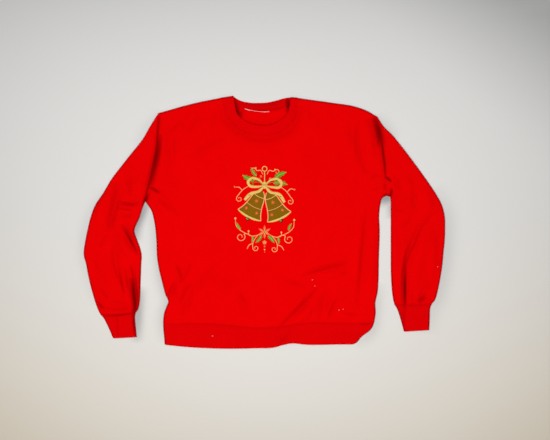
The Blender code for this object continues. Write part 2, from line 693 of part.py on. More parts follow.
def collar_face(seam, edge, steps, retreat, upper):
    """One face of the collar: for each of its rows, the points and the normals there, without ribs.

    The steps are the places across the seam and the edge, and the face starts at the retreat from the seam.
    """
    line = along(seam, steps[0])
    width = along(edge, steps[1]) - line
    start = retreat / np.linalg.norm(width, axis=1)[:, None]
    folds = [smooth(SHOULDER_LEFT), smooth(SHOULDER_RIGHT)]
    rows = []
    for row, across in enumerate(COLLAR_ROWS):
        points = line + width * (start + across * (1 - start))
        distance, outwards = nearest(points, folds)
        lift = RIB_LIFT - edge_drop(row, COLLAR_ROWS)
        rows.append(layer(points, distance, outwards, EDGE_LEVEL, upper, lift))
    return rows


def collar():
    """The rib band round the neck: a strip that turns over at both shoulders, its back part face down."""
    seams = neck_seam(NECKLINE_FRONT, NECKLINE_COLUMNS), neck_seam(NECKLINE_BACK, BACK_NECKLINE_COLUMNS)
    edges = smooth(COLLAR_EDGE_FRONT), smooth(COLLAR_EDGE_BACK)
    ribbed = []
    plain = []
    ribs = []
    for seam, edge, upper in zip(seams, edges, (True, False)):
        lengths = arc(seam)[-1], arc(edge)[-1]
        columns = rib_columns(sum(lengths) / 2)
        fine = [ribbed_steps(length, columns) for length in lengths]
        coarse = [rolled_steps(length, COLLAR_PLAIN_COLUMNS) for length in lengths]
        ribbed.append(collar_face(seam, edge, fine, SEAM_GAP, upper))
        plain.append(collar_face(seam, edge, coarse, SEAM_GAP + PLAIN_RETREAT, upper))
        ribs.append(rib_heights(columns)[:, None])
    outer = []
    inner = []
    for row in range(len(COLLAR_ROWS)):
        top, top_normal = ribbed[0][row]
        lining, lining_normal = plain[0][row]
        back, back_normal = ribbed[1][row]
        floor = plain[1][row][0]
        rib_wall = RIB - edge_drop(row, COLLAR_ROWS) + ribs[1]
        back_face = back - rib_wall * back_normal
        outer.append(np.vstack([top + ribs[0] * top_normal, floor[-2:0:-1]]))
        inner.append(np.vstack([lining - RIB * lining_normal, back_face[-2:0:-1]]))
    front_even, back_even = (np.linspace(0, 1, len(heights)) for heights in ribs)
    plain_even = np.linspace(0, 1, len(floor))
    outer_places = places_round(front_even, plain_even)
    inner_places = places_round(plain_even, back_even)
    return tube_solid("collar", outer, outer_places, inner, inner_places, RIB_FINISH)


def neck_label():
    """A blank woven strip that lies on the inside of the back panel, along the back neck seam."""
    seam = smooth(NECKLINE_BACK)
    line = along(seam, np.linspace(LABEL_START, LABEL_START + LABEL_LENGTH, LABEL_COLUMNS + 1))
    far = line - [0, LABEL_DEPTH]
    near = line - [0, LABEL_GAP]
    level = FLEECE + SEAM_GAP
    grid = np.stack([far, near])
    top = np.dstack([grid, np.full(grid.shape[:2], level + LABEL_THICKNESS)])
    low = np.dstack([grid, np.full(grid.shape[:2], level)])
    return sheet_solid("neck_label", top, low, LABEL_FINISH)


# Start

def main():
    """Clears the scene and makes each cut piece of the garment."""
    for old in list(bpy.data.objects):
        bpy.data.objects.remove(old)
    bpy.context.scene.collection.children.link(bpy.data.collections.new(COLLECTION))
    panel("back", NECKLINE_BACK, BACK_ROWS, BACK_SHOULDER_COLUMNS, BACK_NECKLINE_COLUMNS, upper=False)
    panel("front", NECKLINE_FRONT, FRONT_ROWS, SHOULDER_COLUMNS, NECKLINE_COLUMNS, upper=True)
    sleeve("sleeve_left", SLEEVE_LEFT, ARMHOLE_LEFT, side=-1)
    sleeve("sleeve_right", SLEEVE_RIGHT, ARMHOLE_RIGHT, side=1)
    cuff("cuff_left", CUFF_LEFT, SLEEVE_LEFT[-1])
    cuff("cuff_right", CUFF_RIGHT, SLEEVE_RIGHT[-1])
    hem_band()
    collar()
    neck_label()


main()
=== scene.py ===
"""A crew-neck fleece sweatshirt laid flat with its front up, dressed over its rigid cut pieces.

Every visible surface is made here as a thin shell on the form of the solid that it stands for. The tables
hold millimetres, seen from above, +X to the right and +Y from the hem to the neck. The scene is in metres.
"""

import logging
import math
from collections.abc import Iterator, Sequence
from dataclasses import dataclass
from enum import Enum

import bmesh
import bpy
import numpy as np
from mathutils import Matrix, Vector


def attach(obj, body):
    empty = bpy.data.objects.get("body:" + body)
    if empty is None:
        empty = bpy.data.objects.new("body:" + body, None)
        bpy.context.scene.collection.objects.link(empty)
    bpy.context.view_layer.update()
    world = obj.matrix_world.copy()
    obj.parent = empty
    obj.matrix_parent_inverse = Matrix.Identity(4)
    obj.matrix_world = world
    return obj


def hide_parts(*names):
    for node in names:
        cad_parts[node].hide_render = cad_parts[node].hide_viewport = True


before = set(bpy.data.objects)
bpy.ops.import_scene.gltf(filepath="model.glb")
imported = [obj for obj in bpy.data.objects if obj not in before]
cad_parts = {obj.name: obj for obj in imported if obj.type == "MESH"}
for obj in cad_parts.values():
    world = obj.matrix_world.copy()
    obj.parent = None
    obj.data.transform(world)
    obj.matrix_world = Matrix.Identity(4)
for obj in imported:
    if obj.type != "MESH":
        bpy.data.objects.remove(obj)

LOG = logging.getLogger("sweatshirt")
MM = 0.001

Array = np.ndarray
Point = tuple[float, float]
Points = tuple[Point, ...]
Piece = bpy.types.Object
Socket = bpy.types.NodeSocket


# Shared numbers of the garment's cloth and of how it lies


@dataclass(frozen=True)
class Cloth:
    """Thicknesses and heights that every piece shares, in millimetres."""

    fleece: float = 2.0
    rib: float = 3.0
    seam_gap: float = 0.12
    rib_pitch: float = 3.8
    rib_rise: float = 0.7
    edge_level: float = 3.8
    edge_roll: float = 6.0
    laid_height: float = 6.8
    lowest: float = 4.7
    softening: float = 1.2
    edge_fullness: float = 1.8
    fullness_width: float = 18.0
    rib_lift: float = 1.0
    neck_lift: float = 3.0
    neck_lift_spread: float = 70.0


CLOTH = Cloth()
CENTRE = np.array([-1.5, 2.4])  # the middle of the garment's bounding box in the tables below
ROLL_COLUMNS = 4  # columns of the fine shells in a rolled edge
ROLLED_EDGE = CLOTH.edge_roll * (1 - np.cos(np.linspace(0, math.pi / 2, ROLL_COLUMNS + 1)))  # their places
SEAM_PINCH = 0.35  # how far a seam draws the cloth down
SEAM_PINCH_SPREAD = 3.5
SEWN_WIDTH = 6.0  # over which a band rises from its seam to its full height
SEAM_ROW = 0.4  # width of the first row at a seam, which keeps its edge crisp
FOLD_FADE = 1.3  # of the soft folds towards their ends
LIP_PLACE = 2.2  # of a crease's spread, from its middle
LIP_RISE = 0.4  # of its depth
SHADE_WIDTH = 0.8  # of a crease's spread: the width of its painted shade
FOLD_SHADE = 0.016  # painted shade for each millimetre of a soft fold's depth
RIM_SHADE = 0.60  # painted shade where a rolled edge turns under
RIM_SHADE_FADE = 1.5
RIB_FLATTENING = 0.6  # of the ribs' rise, at a seam
UPPER_CLEAR = 0.5  # how far above the edges' level a band counts as its upper layer
TABLE_STEP = 4.0
NECK_DIP_FADE = 2.5
STITCH_RIM = 0.8  # width of the slope at each side of a run of stitches
STITCH_RIM_SHARE = 0.4  # of half the run's width, at most
STITCH_DOME = 0.3  # of the rise, lost from the run's middle to its slopes
STITCH_SINK = 0.25  # of the run's feet into the cloth
CURL_POINTS = 12
CURL_TIGHTENING = 0.72  # of its radius, from its outer to its inner end


def table(kind: type, *rows: tuple) -> tuple:
    """Returns things of one kind, each made from a row of its fields."""
    return tuple(kind(*row) for row in rows)


# The cut, seen from above. Left and right are the viewer's.


@dataclass(frozen=True)
class Pattern:
    """The outlines of the cut pieces as they lie."""

    neck_left: Point = (-107, 314)
    neck_right: Point = (83, 313)
    neck_front: Point = (-7, 217)
    shoulder_left: Points = (
        (-267, 275), (-242, 282), (-207, 292), (-167, 302), (-122, 311), (-107, 314), (-79, 318),
    )
    shoulder_right: Points = (
        (64, 315), (83, 313), (96, 311), (167, 301), (227, 291), (255, 281), (281, 266),
    )
    armhole_left: Points = (
        (-300, 54), (-294, 85), (-286, 113), (-280, 142), (-273, 167), (-269, 207), (-270, 245),
        (-267, 275),
    )
    armhole_right: Points = (
        (304, 68), (305, 100), (300, 130), (297, 167), (292, 205), (286, 232), (281, 266),
    )
    side_left: Points = (
        (-255, -245), (-253, -228), (-247, -210), (-242, -197), (-249, -180), (-257, -150),
        (-265, -118), (-270, -88), (-272, -43), (-277, 2), (-285, 32), (-300, 54),
    )
    side_right: Points = (
        (274, -246), (277, -225), (276, -203), (282, -172), (284, -143), (285, -93), (287, -18),
        (286, 23), (289, 47), (294, 63), (304, 68),
    )
    hem_seam: Points = (
        (-255, -245), (-242, -251), (-187, -251), (-137, -252), (-87, -256), (-47, -261), (-7, -262),
        (38, -259), (75, -254), (105, -250), (187, -250), (265, -249), (274, -246),
    )
    hem_edge: Points = (
        (-251, -303), (-202, -308), (-135, -312), (-72, -313), (-25, -312), (25, -310), (47, -304),
        (69, -300), (99, -303), (187, -303), (222, -303),
    )
    hem_end_left: Points = ((-255, -245), (-254, -268), (-252, -288), (-251, -303))
    hem_end_right: Points = (
        (274, -246), (268, -262), (259, -272), (249, -279), (239, -287), (231, -298), (222, -303),
    )
    neckline_front: Points = (
        (-107, 314), (-106, 298), (-98, 270), (-83, 248), (-60, 231), (-35, 221), (-7, 217), (24, 221),
        (49, 232), (68, 249), (79, 271), (82, 297), (83, 313),
    )
    neckline_back: Points = (
        (-107, 314), (-106, 303), (-98, 296), (-82, 290), (-55, 284), (-22, 280), (2, 279), (28, 283),
        (56, 291), (74, 297), (81, 303), (83, 313),
    )
    collar_edge_front: Points = (
        (-79, 318), (-76, 300), (-68, 271), (-56, 260), (-40, 251), (-24, 246), (-4, 244), (19, 247),
        (36, 256), (49, 266), (57, 276), (61, 292), (64, 315),
    )
    collar_edge_back: Points = (
        (-79, 318), (-72, 312), (-60, 306), (-42, 302), (-12, 301), (5, 302), (32, 308), (46, 312),
        (56, 314), (64, 315),
    )


PATTERN = Pattern()


@dataclass(frozen=True)
class Section:
    """A line across a sleeve or cuff, from its outer to its inner edge."""

    outer_x: float
    outer_y: float
    inner_x: float
    inner_y: float


SLEEVE_LEFT = table(
    Section,
    (-267, 275, -300, 54), (-287, 243, -302, 49), (-307, 209, -305, 42), (-332, 177, -308, 34),
    (-360, 142, -311, 24), (-385, 109, -315, 12), (-405, 75, -320, 1), (-425, 45, -325, -10),
    (-437, 13, -327, -22), (-445, -20, -322, -38), (-451, -50, -314, -59), (-454, -78, -309, -80),
    (-448, -103, -310, -102), (-443, -130, -311, -130), (-436, -160, -312, -158), (-427, -192, -313, -190),
    (-419, -215, -317, -214), (-412, -229, -324, -225),
)
SLEEVE_RIGHT = table(
    Section,
    (281, 266, 304, 68), (298, 241, 309, 67), (320, 219, 313, 65), (342, 192, 315, 57), (365, 162, 315, 45),
    (388, 131, 315, 30), (408, 103, 315, 15), (426, 76, 315, 0), (442, 47, 315, -15), (450, 17, 315, -31),
    (451, -13, 315, -48), (450, -43, 315, -66), (447, -73, 315, -88), (444, -105, 315, -112),
    (439, -138, 316, -140), (432, -172, 318, -170), (426, -192, 321, -191), (418, -202, 324, -203),
)
CUFF_LEFT = table(
    Section,
    (-403, -239, -326, -237), (-391, -263, -324, -262), (-382, -284, -322, -282), (-380, -288, -321, -285),
)
CUFF_RIGHT = table(
    Section,
    (413, -214, 333, -219), (412, -240, 341, -245), (411, -263, 347, -267), (411, -267, 348, -271),
)


# Folds


@dataclass(frozen=True)
class Fold:
    """A soft ridge (rise above 0) or trough (below 0) from one end past a bend to the other end."""

    x0: float
    y0: float
    bend_x: float
    bend_y: float
    x1: float
    y1: float
    rise: float
    spread: float


FOLDS = table(
    Fold,
    # body, right half
    (112, -146, 84, -196, 36, -238, 5.0, 15),
    (122, -158, 96, -204, 35, -262, -4.0, 8),
    (136, -176, 108, -218, 62, -258, 6.0, 12),
    (90, -108, 150, -98, 212, -80, 4.0, 14),
    (86, -124, 150, -115, 216, -98, -4.0, 9),
    (138, -134, 176, -127, 214, -118, 3.0, 12),
    (253, 52, 250, -90, 231, -220, -4.5, 11),
    (270, 30, 267, -95, 250, -225, 4.5, 11),
    (237, 40, 234, -80, 216, -195, 3.0, 16),
    (162, -174, 146, -208, 135, -236, -3.5, 9),
    (180, -176, 166, -208, 152, -242, 4.5, 10),
    (174, -206, 167, -226, 158, -250, -3.0, 8),
    (224, -200, 210, -222, 192, -240, 3.0, 12),
    (242, 268, 234, 205, 248, 134, -4.5, 10),
    (262, 258, 262, 205, 270, 140, 5.0, 12),
    (220, 270, 212, 205, 218, 140, 3.5, 16),
    # body, left half
    (-220, -106, -214, -128, -206, -150, -3.0, 10),
    (-224, -142, -232, -164, -244, -190, -3.5, 9),
    (-204, -120, -214, -165, -228, -208, 4.5, 13),
    (-187, -152, -193, -190, -204, -228, -3.0, 10),
    (-170, -142, -176, -186, -184, -232, 3.0, 13),
    (-290, 90, -262, 76, -224, 32, -4.0, 10),
    (-284, 64, -262, 44, -236, 8, 4.5, 12),
    (-266, 104, -236, 88, -206, 52, 4.0, 13),
    (-64, -172, -52, -208, -37, -244, -2.5, 12),
    (-84, -174, -72, -208, -58, -244, 2.5, 13),
    (-245, 222, -244, 166, -247, 110, -3.0, 11),
    (-262, 220, -260, 172, -264, 124, 3.0, 9),
    (-226, 236, -222, 172, -224, 110, 3.0, 14),
    (-138, 292, -134, 268, -130, 240, -2.0, 12),
    (-130, 190, -130, 20, -142, -150, 2.5, 62),
    (140, 190, 142, 50, 120, -80, 2.5, 62),
    # armholes
    (-266, 296, -270, 186, -302, 34, -5.0, 9),
    (280, 290, 299, 170, 306, 44, -5.0, 9),
    # left sleeve
    (-300, 208, -334, 160, -356, 112, 4.5, 24),
    (-352, 138, -345, 104, -340, 70, -4.0, 11),
    (-326, 132, -320, 104, -317, 72, 4.0, 14),
    (-366, 96, -379, 50, -394, -14, -4.6, 13),
    (-388, 88, -410, 44, -428, 0, 5.0, 13),
    (-360, 74, -366, 26, -380, -28, 4.0, 12),
    (-366, 52, -338, 53, -308, 51, -3.5, 8),
    (-374, 37, -344, 37, -312, 35, 3.5, 8),
    (-374, 22, -350, 21, -326, 22, -3.5, 8),
    (-358, -6, -338, -42, -310, -86, -5.5, 9),
    (-344, 4, -328, -24, -312, -52, 5.0, 11),
    (-374, -24, -352, -62, -328, -98, 6.5, 14),
    (-380, -56, -375, -116, -353, -178, -5.0, 10),
    (-404, -30, -398, -112, -378, -194, 2.8, 21),
    (-354, -100, -350, -144, -342, -192, 6.5, 12),
    (-334, -98, -330, -160, -324, -236, -6.0, 8),
    (-320, -94, -318, -150, -318, -212, 3.5, 8),
    (-392, -206, -360, -207, -328, -206, -3.5, 8),
    # right sleeve
    (312, 202, 348, 160, 376, 106, 4.5, 26),
    (326, 118, 333, 102, 342, 86, -4.0, 10),
    (346, 126, 354, 104, 361, 78, 3.5, 13),
    (376, 98, 377, 66, 375, 30, -2.6, 11),
    (394, 92, 406, 60, 415, 18, 5.0, 14),
    (352, 78, 352, 42, 349, 4, 2.6, 18),
    (418, 18, 371, -60, 350, -212, -6.0, 11),
    (424, -8, 388, -78, 371, -196, 4.2, 20),
    (372, 6, 342, -72, 331, -190, 5.5, 13),
    (426, -50, 421, -96, 411, -146, 3.5, 12),
    (388, -194, 399, -178, 409, -160, -4.0, 9),
    # hem band
    (-262, -248, -100, -257, 45, -264, -1.6, 9),
    (20, -266, 120, -250, 285, -248, -1.6, 9),
    (62, -276, 46, -292, 30, -308, -3.0, 9),
    (88, -272, 74, -288, 56, -304, 3.0, 11),
    (210, -264, 222, -282, 234, -300, 2.5, 12),
)


class Side(Enum):
    """Which layer of a flattened tube."""

    UPPER = 1
    LOWER = -1


@dataclass(frozen=True)
class Crease:
    """A narrow crease along a line, with soft lips. Shade is painted into the cloth's colour in its bottom.
    """

    points: Points
    depth: float
    spread: float
    # how much shade is painted into its bottom, from 0 to 1
    shade: float = 0.0
    fade: float = 0.7  # the lower, the later it fades towards its ends


# The fourth field of each row is how much shade is painted into the crease's bottom.
UPPER_CREASES = table(
    Crease,
    # left armhole, where the body's edge lies over the sleeve's
    (
        (
            (-265, 268), (-267, 245), (-269, 220), (-271, 195), (-275, 170), (-280, 145), (-285, 120),
            (-291, 95), (-297, 72), (-299, 54),
        ),
        2.0, 4.5, 0.75, 0.2,
    ),
    (
        ((-267, 226), (-267, 199), (-270, 175), (-275, 151), (-281, 126), (-287, 102), (-292, 86)),
        2.4, 9.5, 0.86, 0.4,
    ),
    (((-296, 90), (-283, 87), (-273, 81), (-262, 75)), 2.0, 4.5, 0.68, 0.5),
    (((-306, 40), (-299, 58), (-292, 80)), 1.5, 7.0, 0.88),
    # right armhole
    (
        ((273, 265), (281, 247), (286, 231), (290, 212), (293, 194), (296, 172), (299, 148), (301, 118)),
        2.0, 4.5, 0.78, 0.2,
    ),
    (((270, 267), (279, 249), (284, 231), (288, 212), (292, 188)), 2.4, 11.5, 0.86, 0.5),
    (((256, 266), (270, 240), (279, 214)), 1.0, 13.0, 0.1),
    (((298, 116), (308, 111), (316, 103)), 2.2, 4.5, 0.78, 0.4),
    (((301, 102), (300, 92), (302, 82)), 1.2, 4.0, 0.4),
    (((293, 68), (304, 70), (312, 68), (316, 78), (315, 88)), 1.5, 4.5, 0.74, 0.4),
    (((259, 103), (276, 119), (298, 117)), 1.2, 5.0, 0.13),
    (((262, 88), (277, 84), (292, 92)), 0.9, 5.0, 0.07),
    # left shoulder and chest
    (((-249, 234), (-246, 187), (-243, 132)), 1.3, 5.0, 0.11),
    (((-229, 222), (-228, 186), (-227, 150)), 1.0, 5.0, 0.08),
    (((-244, 226), (-228, 240), (-210, 256)), 1.1, 5.5, 0.1),
    (((-222, 262), (-206, 246), (-196, 226)), 0.9, 6.0, 0.07),
    (((-192, 222), (-180, 248), (-167, 268)), 0.9, 8.0, 0.07),
    (((-200, 160), (-136, 199), (-82, 219)), 1.0, 10.0, 0.05),
    (((-132, 292), (-126, 272), (-124, 250)), 0.9, 6.0, 0.07),
    (((-115, 292), (-108, 270), (-103, 250)), 1.0, 5.0, 0.09),
    (((-266, 60), (-239, 42), (-212, 15)), 1.4, 7.0, 0.09),
    (((-250, 84), (-226, 70), (-204, 50)), 1.0, 8.0, 0.05),
    # left side above the hem
    (((-224, -104), (-214, -124), (-206, -147)), 2.0, 4.8, 0.28),
    (((-186, -92), (-193, -118), (-205, -146)), 1.3, 6.0, 0.13),
    (((-227, -146), (-236, -165), (-245, -192)), 2.2, 4.8, 0.3),
    (((-182, -148), (-200, -172), (-214, -206)), 1.6, 6.5, 0.15),
    (((-186, -178), (-199, -199), (-209, -233)), 1.3, 6.5, 0.09),
    (((-176, -166), (-148, -132), (-110, -88)), 1.1, 11.0, 0.06),
    (((-70, -168), (-55, -190), (-43, -216)), 1.3, 5.5, 0.13),
    (((-160, -118), (-112, -142), (-66, -158)), 0.6, 24.0, 0.05),
    # left sleeve
    (((-371, 104), (-378, 66), (-386, 26), (-394, -22)), 2.6, 11.0, 0.22),
    (((-368, 55), (-350, 50), (-330, 48), (-312, 52)), 2.2, 4.0, 0.36),
    (((-367, 38), (-350, 34), (-330, 31)), 1.6, 3.8, 0.24),
    (((-363, 20), (-346, 18), (-324, 20)), 1.5, 4.0, 0.18),
    (((-351, 116), (-342, 92), (-338, 66)), 1.8, 4.5, 0.16),
    (((-360, 0), (-350, -19), (-341, -35), (-332, -52), (-324, -68), (-315, -84)), 3.0, 5.5, 0.7, 1.1),
    (((-384, -52), (-382, -88), (-374, -121), (-360, -154), (-350, -180)), 2.2, 4.8, 0.22),
    (((-373, -66), (-368, -92), (-363, -118)), 1.2, 5.0, 0.08),
    (
        (
            (-337, -104), (-332, -126), (-329, -145), (-328.5, -164), (-327, -180), (-324, -198),
            (-323.5, -212), (-325, -230),
        ),
        2.2, 4.5, 0.52, 0.5,
    ),
    (
        ((-332, -136), (-330, -154), (-329, -170), (-327, -187), (-325, -206), (-328, -238)),
        2.6, 9.5, 0.84, 0.28,
    ),
    (((-322, -158), (-320, -180), (-319, -206)), 0.5, 7.0, 0.5, 0.4),
    (((-350, -111), (-345, -140), (-339, -177)), 1.7, 4.8, 0.22),
    (((-412, -209), (-384, -215), (-354, -213), (-328, -206)), 1.4, 5.0, 0.14),
    (((-394, -201), (-371, -199), (-350, -208)), 1.1, 5.0, 0.1),
    (((-416, -162), (-404, -176), (-394, -192)), 1.4, 5.0, 0.12),
    (((-422, -196), (-413, -205), (-402, -216)), 1.2, 4.5, 0.4),
    (((-408, -230), (-384, -231), (-355, -229), (-324, -224)), 0.8, 3.5, 0.42, 0.3),
    (((-430, -88), (-424, -110), (-419, -131)), 1.1, 6.0, 0.05),
    (((-396, -26), (-406, -42), (-418, -58)), 1.2, 5.5, 0.07),
    (((-378, -108), (-375, -130), (-370, -152)), 1.2, 4.5, 0.1),
    (((-344, 150), (-334, 138), (-322, 141)), 1.0, 5.0, 0.07),
    (((-333, 172), (-325, 163), (-315, 166)), 1.0, 4.5, 0.06),
    (((-437, -62), (-430, -73), (-422, -84)), 1.0, 5.0, 0.05),
    # left cuff
    (((-370, -232), (-369, -258), (-367, -290)), 0.5, 3.2, 0.18, 0.3),
    (((-328, -218), (-328, -248), (-324, -282)), 0.5, 4.5, 0.62, 0.25),
    # right sleeve
    (
        (
            (420, 26), (405, 6), (393, -9), (386, -24), (381, -38), (374, -52), (366, -66), (359, -80),
            (354, -94), (351, -116), (350, -145), (350, -175), (351, -204), (349, -228), (348, -252),
        ),
        2.0, 6.0, 0.2, 0.35,
    ),
    (((396, -6), (385, -24), (375, -51), (360, -78), (352, -108)), 1.6, 6.5, 0.26, 0.6),
    (((362, -74), (353, -98), (350, -130), (350, -160), (350, -190), (351, -216)), 2.4, 5.5, 0.6, 0.5),
    (((351, -112), (350, -142), (350, -172), (350, -198), (350, -214)), 1.6, 5.5, 0.86, 0.45),
    (((348, -212), (347, -236), (347, -262)), 0.5, 5.0, 0.22, 0.5),
    (((322, 117), (333, 99), (341, 82)), 1.4, 5.0, 0.12),
    (((377, 90), (377, 60), (374, 30)), 1.5, 6.0, 0.07),
    (((371, 19), (358, 4), (341, -16)), 1.3, 5.5, 0.09),
    (((320, 37), (337, 32), (354, 29)), 1.2, 4.0, 0.09),
    (((333, -20), (334, -70), (336, -120)), 0.9, 4.5, 0.05),
    (((434, -18), (431, -60), (424, -104)), 1.1, 6.0, 0.06),
    (((309, 188), (312, 160), (313, 132)), 1.0, 5.0, 0.06),
    (((383, -199), (392, -191), (402, -180)), 2.0, 8.5, 0.36, 0.5),
    (((400, -176), (410, -158), (416, -138)), 1.1, 8.0, 0.06),
    (((330, 68), (328, 44), (327, 16)), 1.0, 5.0, 0.06),
    # right shoulder
    (((239, 268), (233, 223), (237, 175), (248, 139), (257, 121)), 1.7, 5.0, 0.14),
    (((211, 262), (212, 226), (215, 190)), 1.0, 7.0, 0.06),
    (((104, 296), (112, 276), (110, 256)), 0.9, 6.0, 0.06),
    # right side
    (((254, 45), (250, -7), (245, -55), (240, -116), (235, -170), (233, -215)), 2.0, 5.0, 0.17),
    (((266, 22), (272, 6), (282, -13)), 1.2, 6.0, 0.06),
    # right half above the hem
    (((92, -130), (121, -122), (150, -114), (184, -105), (213, -98)), 2.0, 4.5, 0.3),
    (((43, -138), (73, -149), (108, -162)), 1.4, 6.5, 0.11),
    (((131, -161), (109, -187), (87, -211), (65, -232), (45, -251), (28, -268)), 2.2, 4.6, 0.3, 0.4),
    (((153, -167), (145, -195), (138, -231), (134, -251)), 1.7, 5.0, 0.13),
    (((177, -189), (167, -213), (159, -235)), 1.5, 5.0, 0.12),
    (((186, -123), (197, -125), (209, -128)), 1.1, 5.0, 0.08),
    (((188, -222), (212, -228), (238, -232)), 1.0, 5.0, 0.11),
    (((54, -280), (45, -292), (33, -304)), 1.5, 6.0, 0.16),
    # painted soft shade along the seams
    (
        (
            (-240, -252), (-187, -252), (-137, -253), (-87, -257), (-47, -262), (-7, -263), (38, -260),
            (75, -255), (105, -251), (187, -251), (265, -250),
        ),
        0.4, 3.6, 0.14, 0.2,
    ),
    (((230, -251), (252, -251), (270, -249)), 0.8, 4.0, 0.28),
    (
        (
            (-110, 296), (-104, 266), (-87, 243), (-62, 224), (-35, 213), (-7, 209), (26, 213), (53, 225),
            (74, 244), (84, 268), (88, 296),
        ),
        0.8, 13.0, 0.14, 0.3,
    ),
    (((324, -203), (352, -206), (388, -205), (416, -203)), 0.6, 3.5, 0.18, 0.3),
)
LOWER_CREASES = table(
    Crease,
    # inside the neck, painted shade without depth
    (((-80, 315), (-77, 300), (-72, 286), (-66, 272)), 0.0, 10.5, 0.74, 0.3),
    (((-78, 295), (-72, 283), (-66, 272), (-59, 262)), 0.0, 9.5, 0.88, 0.5),
    (((-66, 268), (-60, 275), (-54, 281)), 0.0, 6.0, 0.45, 0.5),
    (((57, 315), (58, 301), (59, 287), (60, 276)), 0.0, 9.0, 0.84, 0.5),
    (((-62, 287), (-22, 283), (28, 286), (58, 294)), 0.0, 7.0, 0.25, 0.5),
    (((-68, 303), (-40, 297), (-8, 295), (28, 301), (54, 310)), 0.0, 10.0, 0.22, 0.3),
    (((-50, 258), (-24, 252), (10, 251), (38, 262), (54, 280)), 0.0, 9.0, 0.06, 0.4),
    # underneath, on the back and then on the sleeves, with painted shade in their bottoms
    (((-272, 42), (-226, 22), (-166, -12)), 0.45, 7.0, 0.14, 0.6),
    (((284, 50), (236, 30), (178, -6)), 0.45, 7.0, 0.14, 0.6),
    (((-252, -140), (-206, -160), (-146, -170)), 0.45, 6.5, 0.13, 0.6),
    (((264, -116), (212, -148), (138, -176)), 0.45, 7.0, 0.15, 0.6),
    (((-64, -118), (12, -136), (84, -128)), 0.45, 7.0, 0.1, 0.7),
    (((24, -186), (58, -214), (84, -242)), 0.45, 6.5, 0.12, 0.7),
    (((-122, 152), (-110, 82), (-118, 4)), 0.35, 10.0, 0.06, 0.7),
    (((148, 178), (158, 102), (150, 24)), 0.35, 10.0, 0.06, 0.7),
    (((-202, 232), (-196, 172), (-206, 108)), 0.35, 9.0, 0.07, 0.7),
    (((216, 234), (206, 170), (214, 98)), 0.35, 9.0, 0.07, 0.7),
    (((-376, 62), (-352, 32), (-334, 4)), 0.45, 6.0, 0.16, 0.6),
    (((-404, -56), (-374, -100), (-346, -152)), 0.45, 6.5, 0.14, 0.6),
    (((-430, -4), (-420, -62), (-410, -122)), 0.35, 8.0, 0.07, 0.7),
    (((350, 112), (366, 62), (360, 10)), 0.45, 6.5, 0.12, 0.7),
    (((422, 2), (386, -60), (360, -132)), 0.45, 6.5, 0.15, 0.6),
    (((336, -58), (342, -110), (338, -162)), 0.45, 6.0, 0.1, 0.7),
)


# Lines


def arc(line: Array) -> Array:
    """Returns the length along a line at each of its points."""
    return np.concatenate([[0.0], np.cumsum(np.linalg.norm(np.diff(line, axis=0), axis=1))])


def cubic(values: Array, slope: Array, span: Array, t: Array, size: Array | float = 1.0) -> Array:
    """Draws cubics through a table's values.

    Args:
        values: The table.
        slope: Its slope at each value.
        span: Between which value and the next each point lies.
        t: How far along that span, from 0 to 1.
        size: The length of the span.

    Returns:
        The points.
    """
    return (
        (2 * t**3 - 3 * t**2 + 1) * values[span]
        + (t**3 - 2 * t**2 + t) * size * slope[span]
        + (3 * t**2 - 2 * t**3) * values[span + 1]
        + (t**3 - t**2) * size * slope[span + 1]
    )


def smooth(points: Sequence, step: float = 2.0) -> Array:
    """Draws a smooth line through points, each span a cubic.

    Args:
        points: The points that the line passes through.
        step: The length of the short steps that it is cut into.

    Returns:
        The points of the line, a row each.
    """
    line = np.array(points, float)
    ends = arc(line)
    slope = np.gradient(line, ends, axis=0)
    places = np.linspace(0, ends[-1], int(ends[-1] / step) + 2)
    span = np.clip(np.searchsorted(ends, places, side="right") - 1, 0, len(ends) - 2)
    size = (ends[span + 1] - ends[span])[:, None]
    t = (places - ends[span])[:, None] / size
    return cubic(line, slope, span, t, size)


def along(line: Array, lengths: Array) -> Array:
    """Returns the points of a line at the given lengths along it."""
    places = arc(line)
    return np.stack([np.interp(lengths, places, line[:, k]) for k in range(line.shape[1])], axis=1)


def share(values: Array) -> Array:
    """Returns values as shares of the way from the first to the last."""
    return (values - values[0]) / (values[-1] - values[0])


def patch(bottom: Array, top: Array, left: Array, right: Array) -> Array:
    """Fills the space between four lines with a grid of points.

    Args:
        bottom: The line below, from left to right.
        top: The line above, from left to right.
        left: The line at the left, upwards.
        right: The line at the right, upwards.

    Returns:
        Rows of points from the bottom to the top.
    """
    u = (share(bottom[:, 0]) + share(top[:, 0]))[None, :, None] / 2
    v = (share(left[:, 1]) + share(right[:, 1]))[:, None, None] / 2
    corners = (
        (1 - u) * (1 - v) * bottom[0] + u * (1 - v) * bottom[-1] + (1 - u) * v * top[0] + u * v * top[-1]
    )
    return (1 - v) * bottom[None] + v * top[None] + (1 - u) * left[:, None] + u * right[:, None] - corners


def rolled_steps(length: float, count: int) -> Array:
    """Spaces columns across a layer, closely round its two rolled edges.

    Args:
        length: The width of the layer.
        count: How many even spans lie between the rolled edges.

    Returns:
        The lengths across the layer.
    """
    middle = np.linspace(CLOTH.edge_roll, length - CLOTH.edge_roll, count + 1)[1:-1]
    return np.concatenate([ROLLED_EDGE, middle, length - ROLLED_EDGE[::-1]])


def ribbed_steps(length: float, count: int) -> Array:
    """Spaces columns evenly over a ribbed layer, also round its rolled edges.

    Args:
        length: The width of the layer, seen from above.
        count: How many spans it has.

    Returns:
        The lengths across the layer, seen from above.
    """
    turn = math.pi / 2 * CLOTH.edge_roll
    places = np.linspace(0, length - 2 * CLOTH.edge_roll + 2 * turn, count + 1)
    far = places[-1] - places
    near = np.minimum(places, far)
    rolled = CLOTH.edge_roll * (1 - np.cos(np.minimum(near / turn, 1) * math.pi / 2))
    depth = np.where(near < turn, rolled, near - turn + CLOTH.edge_roll)
    return np.where(places <= far, depth, length - depth)


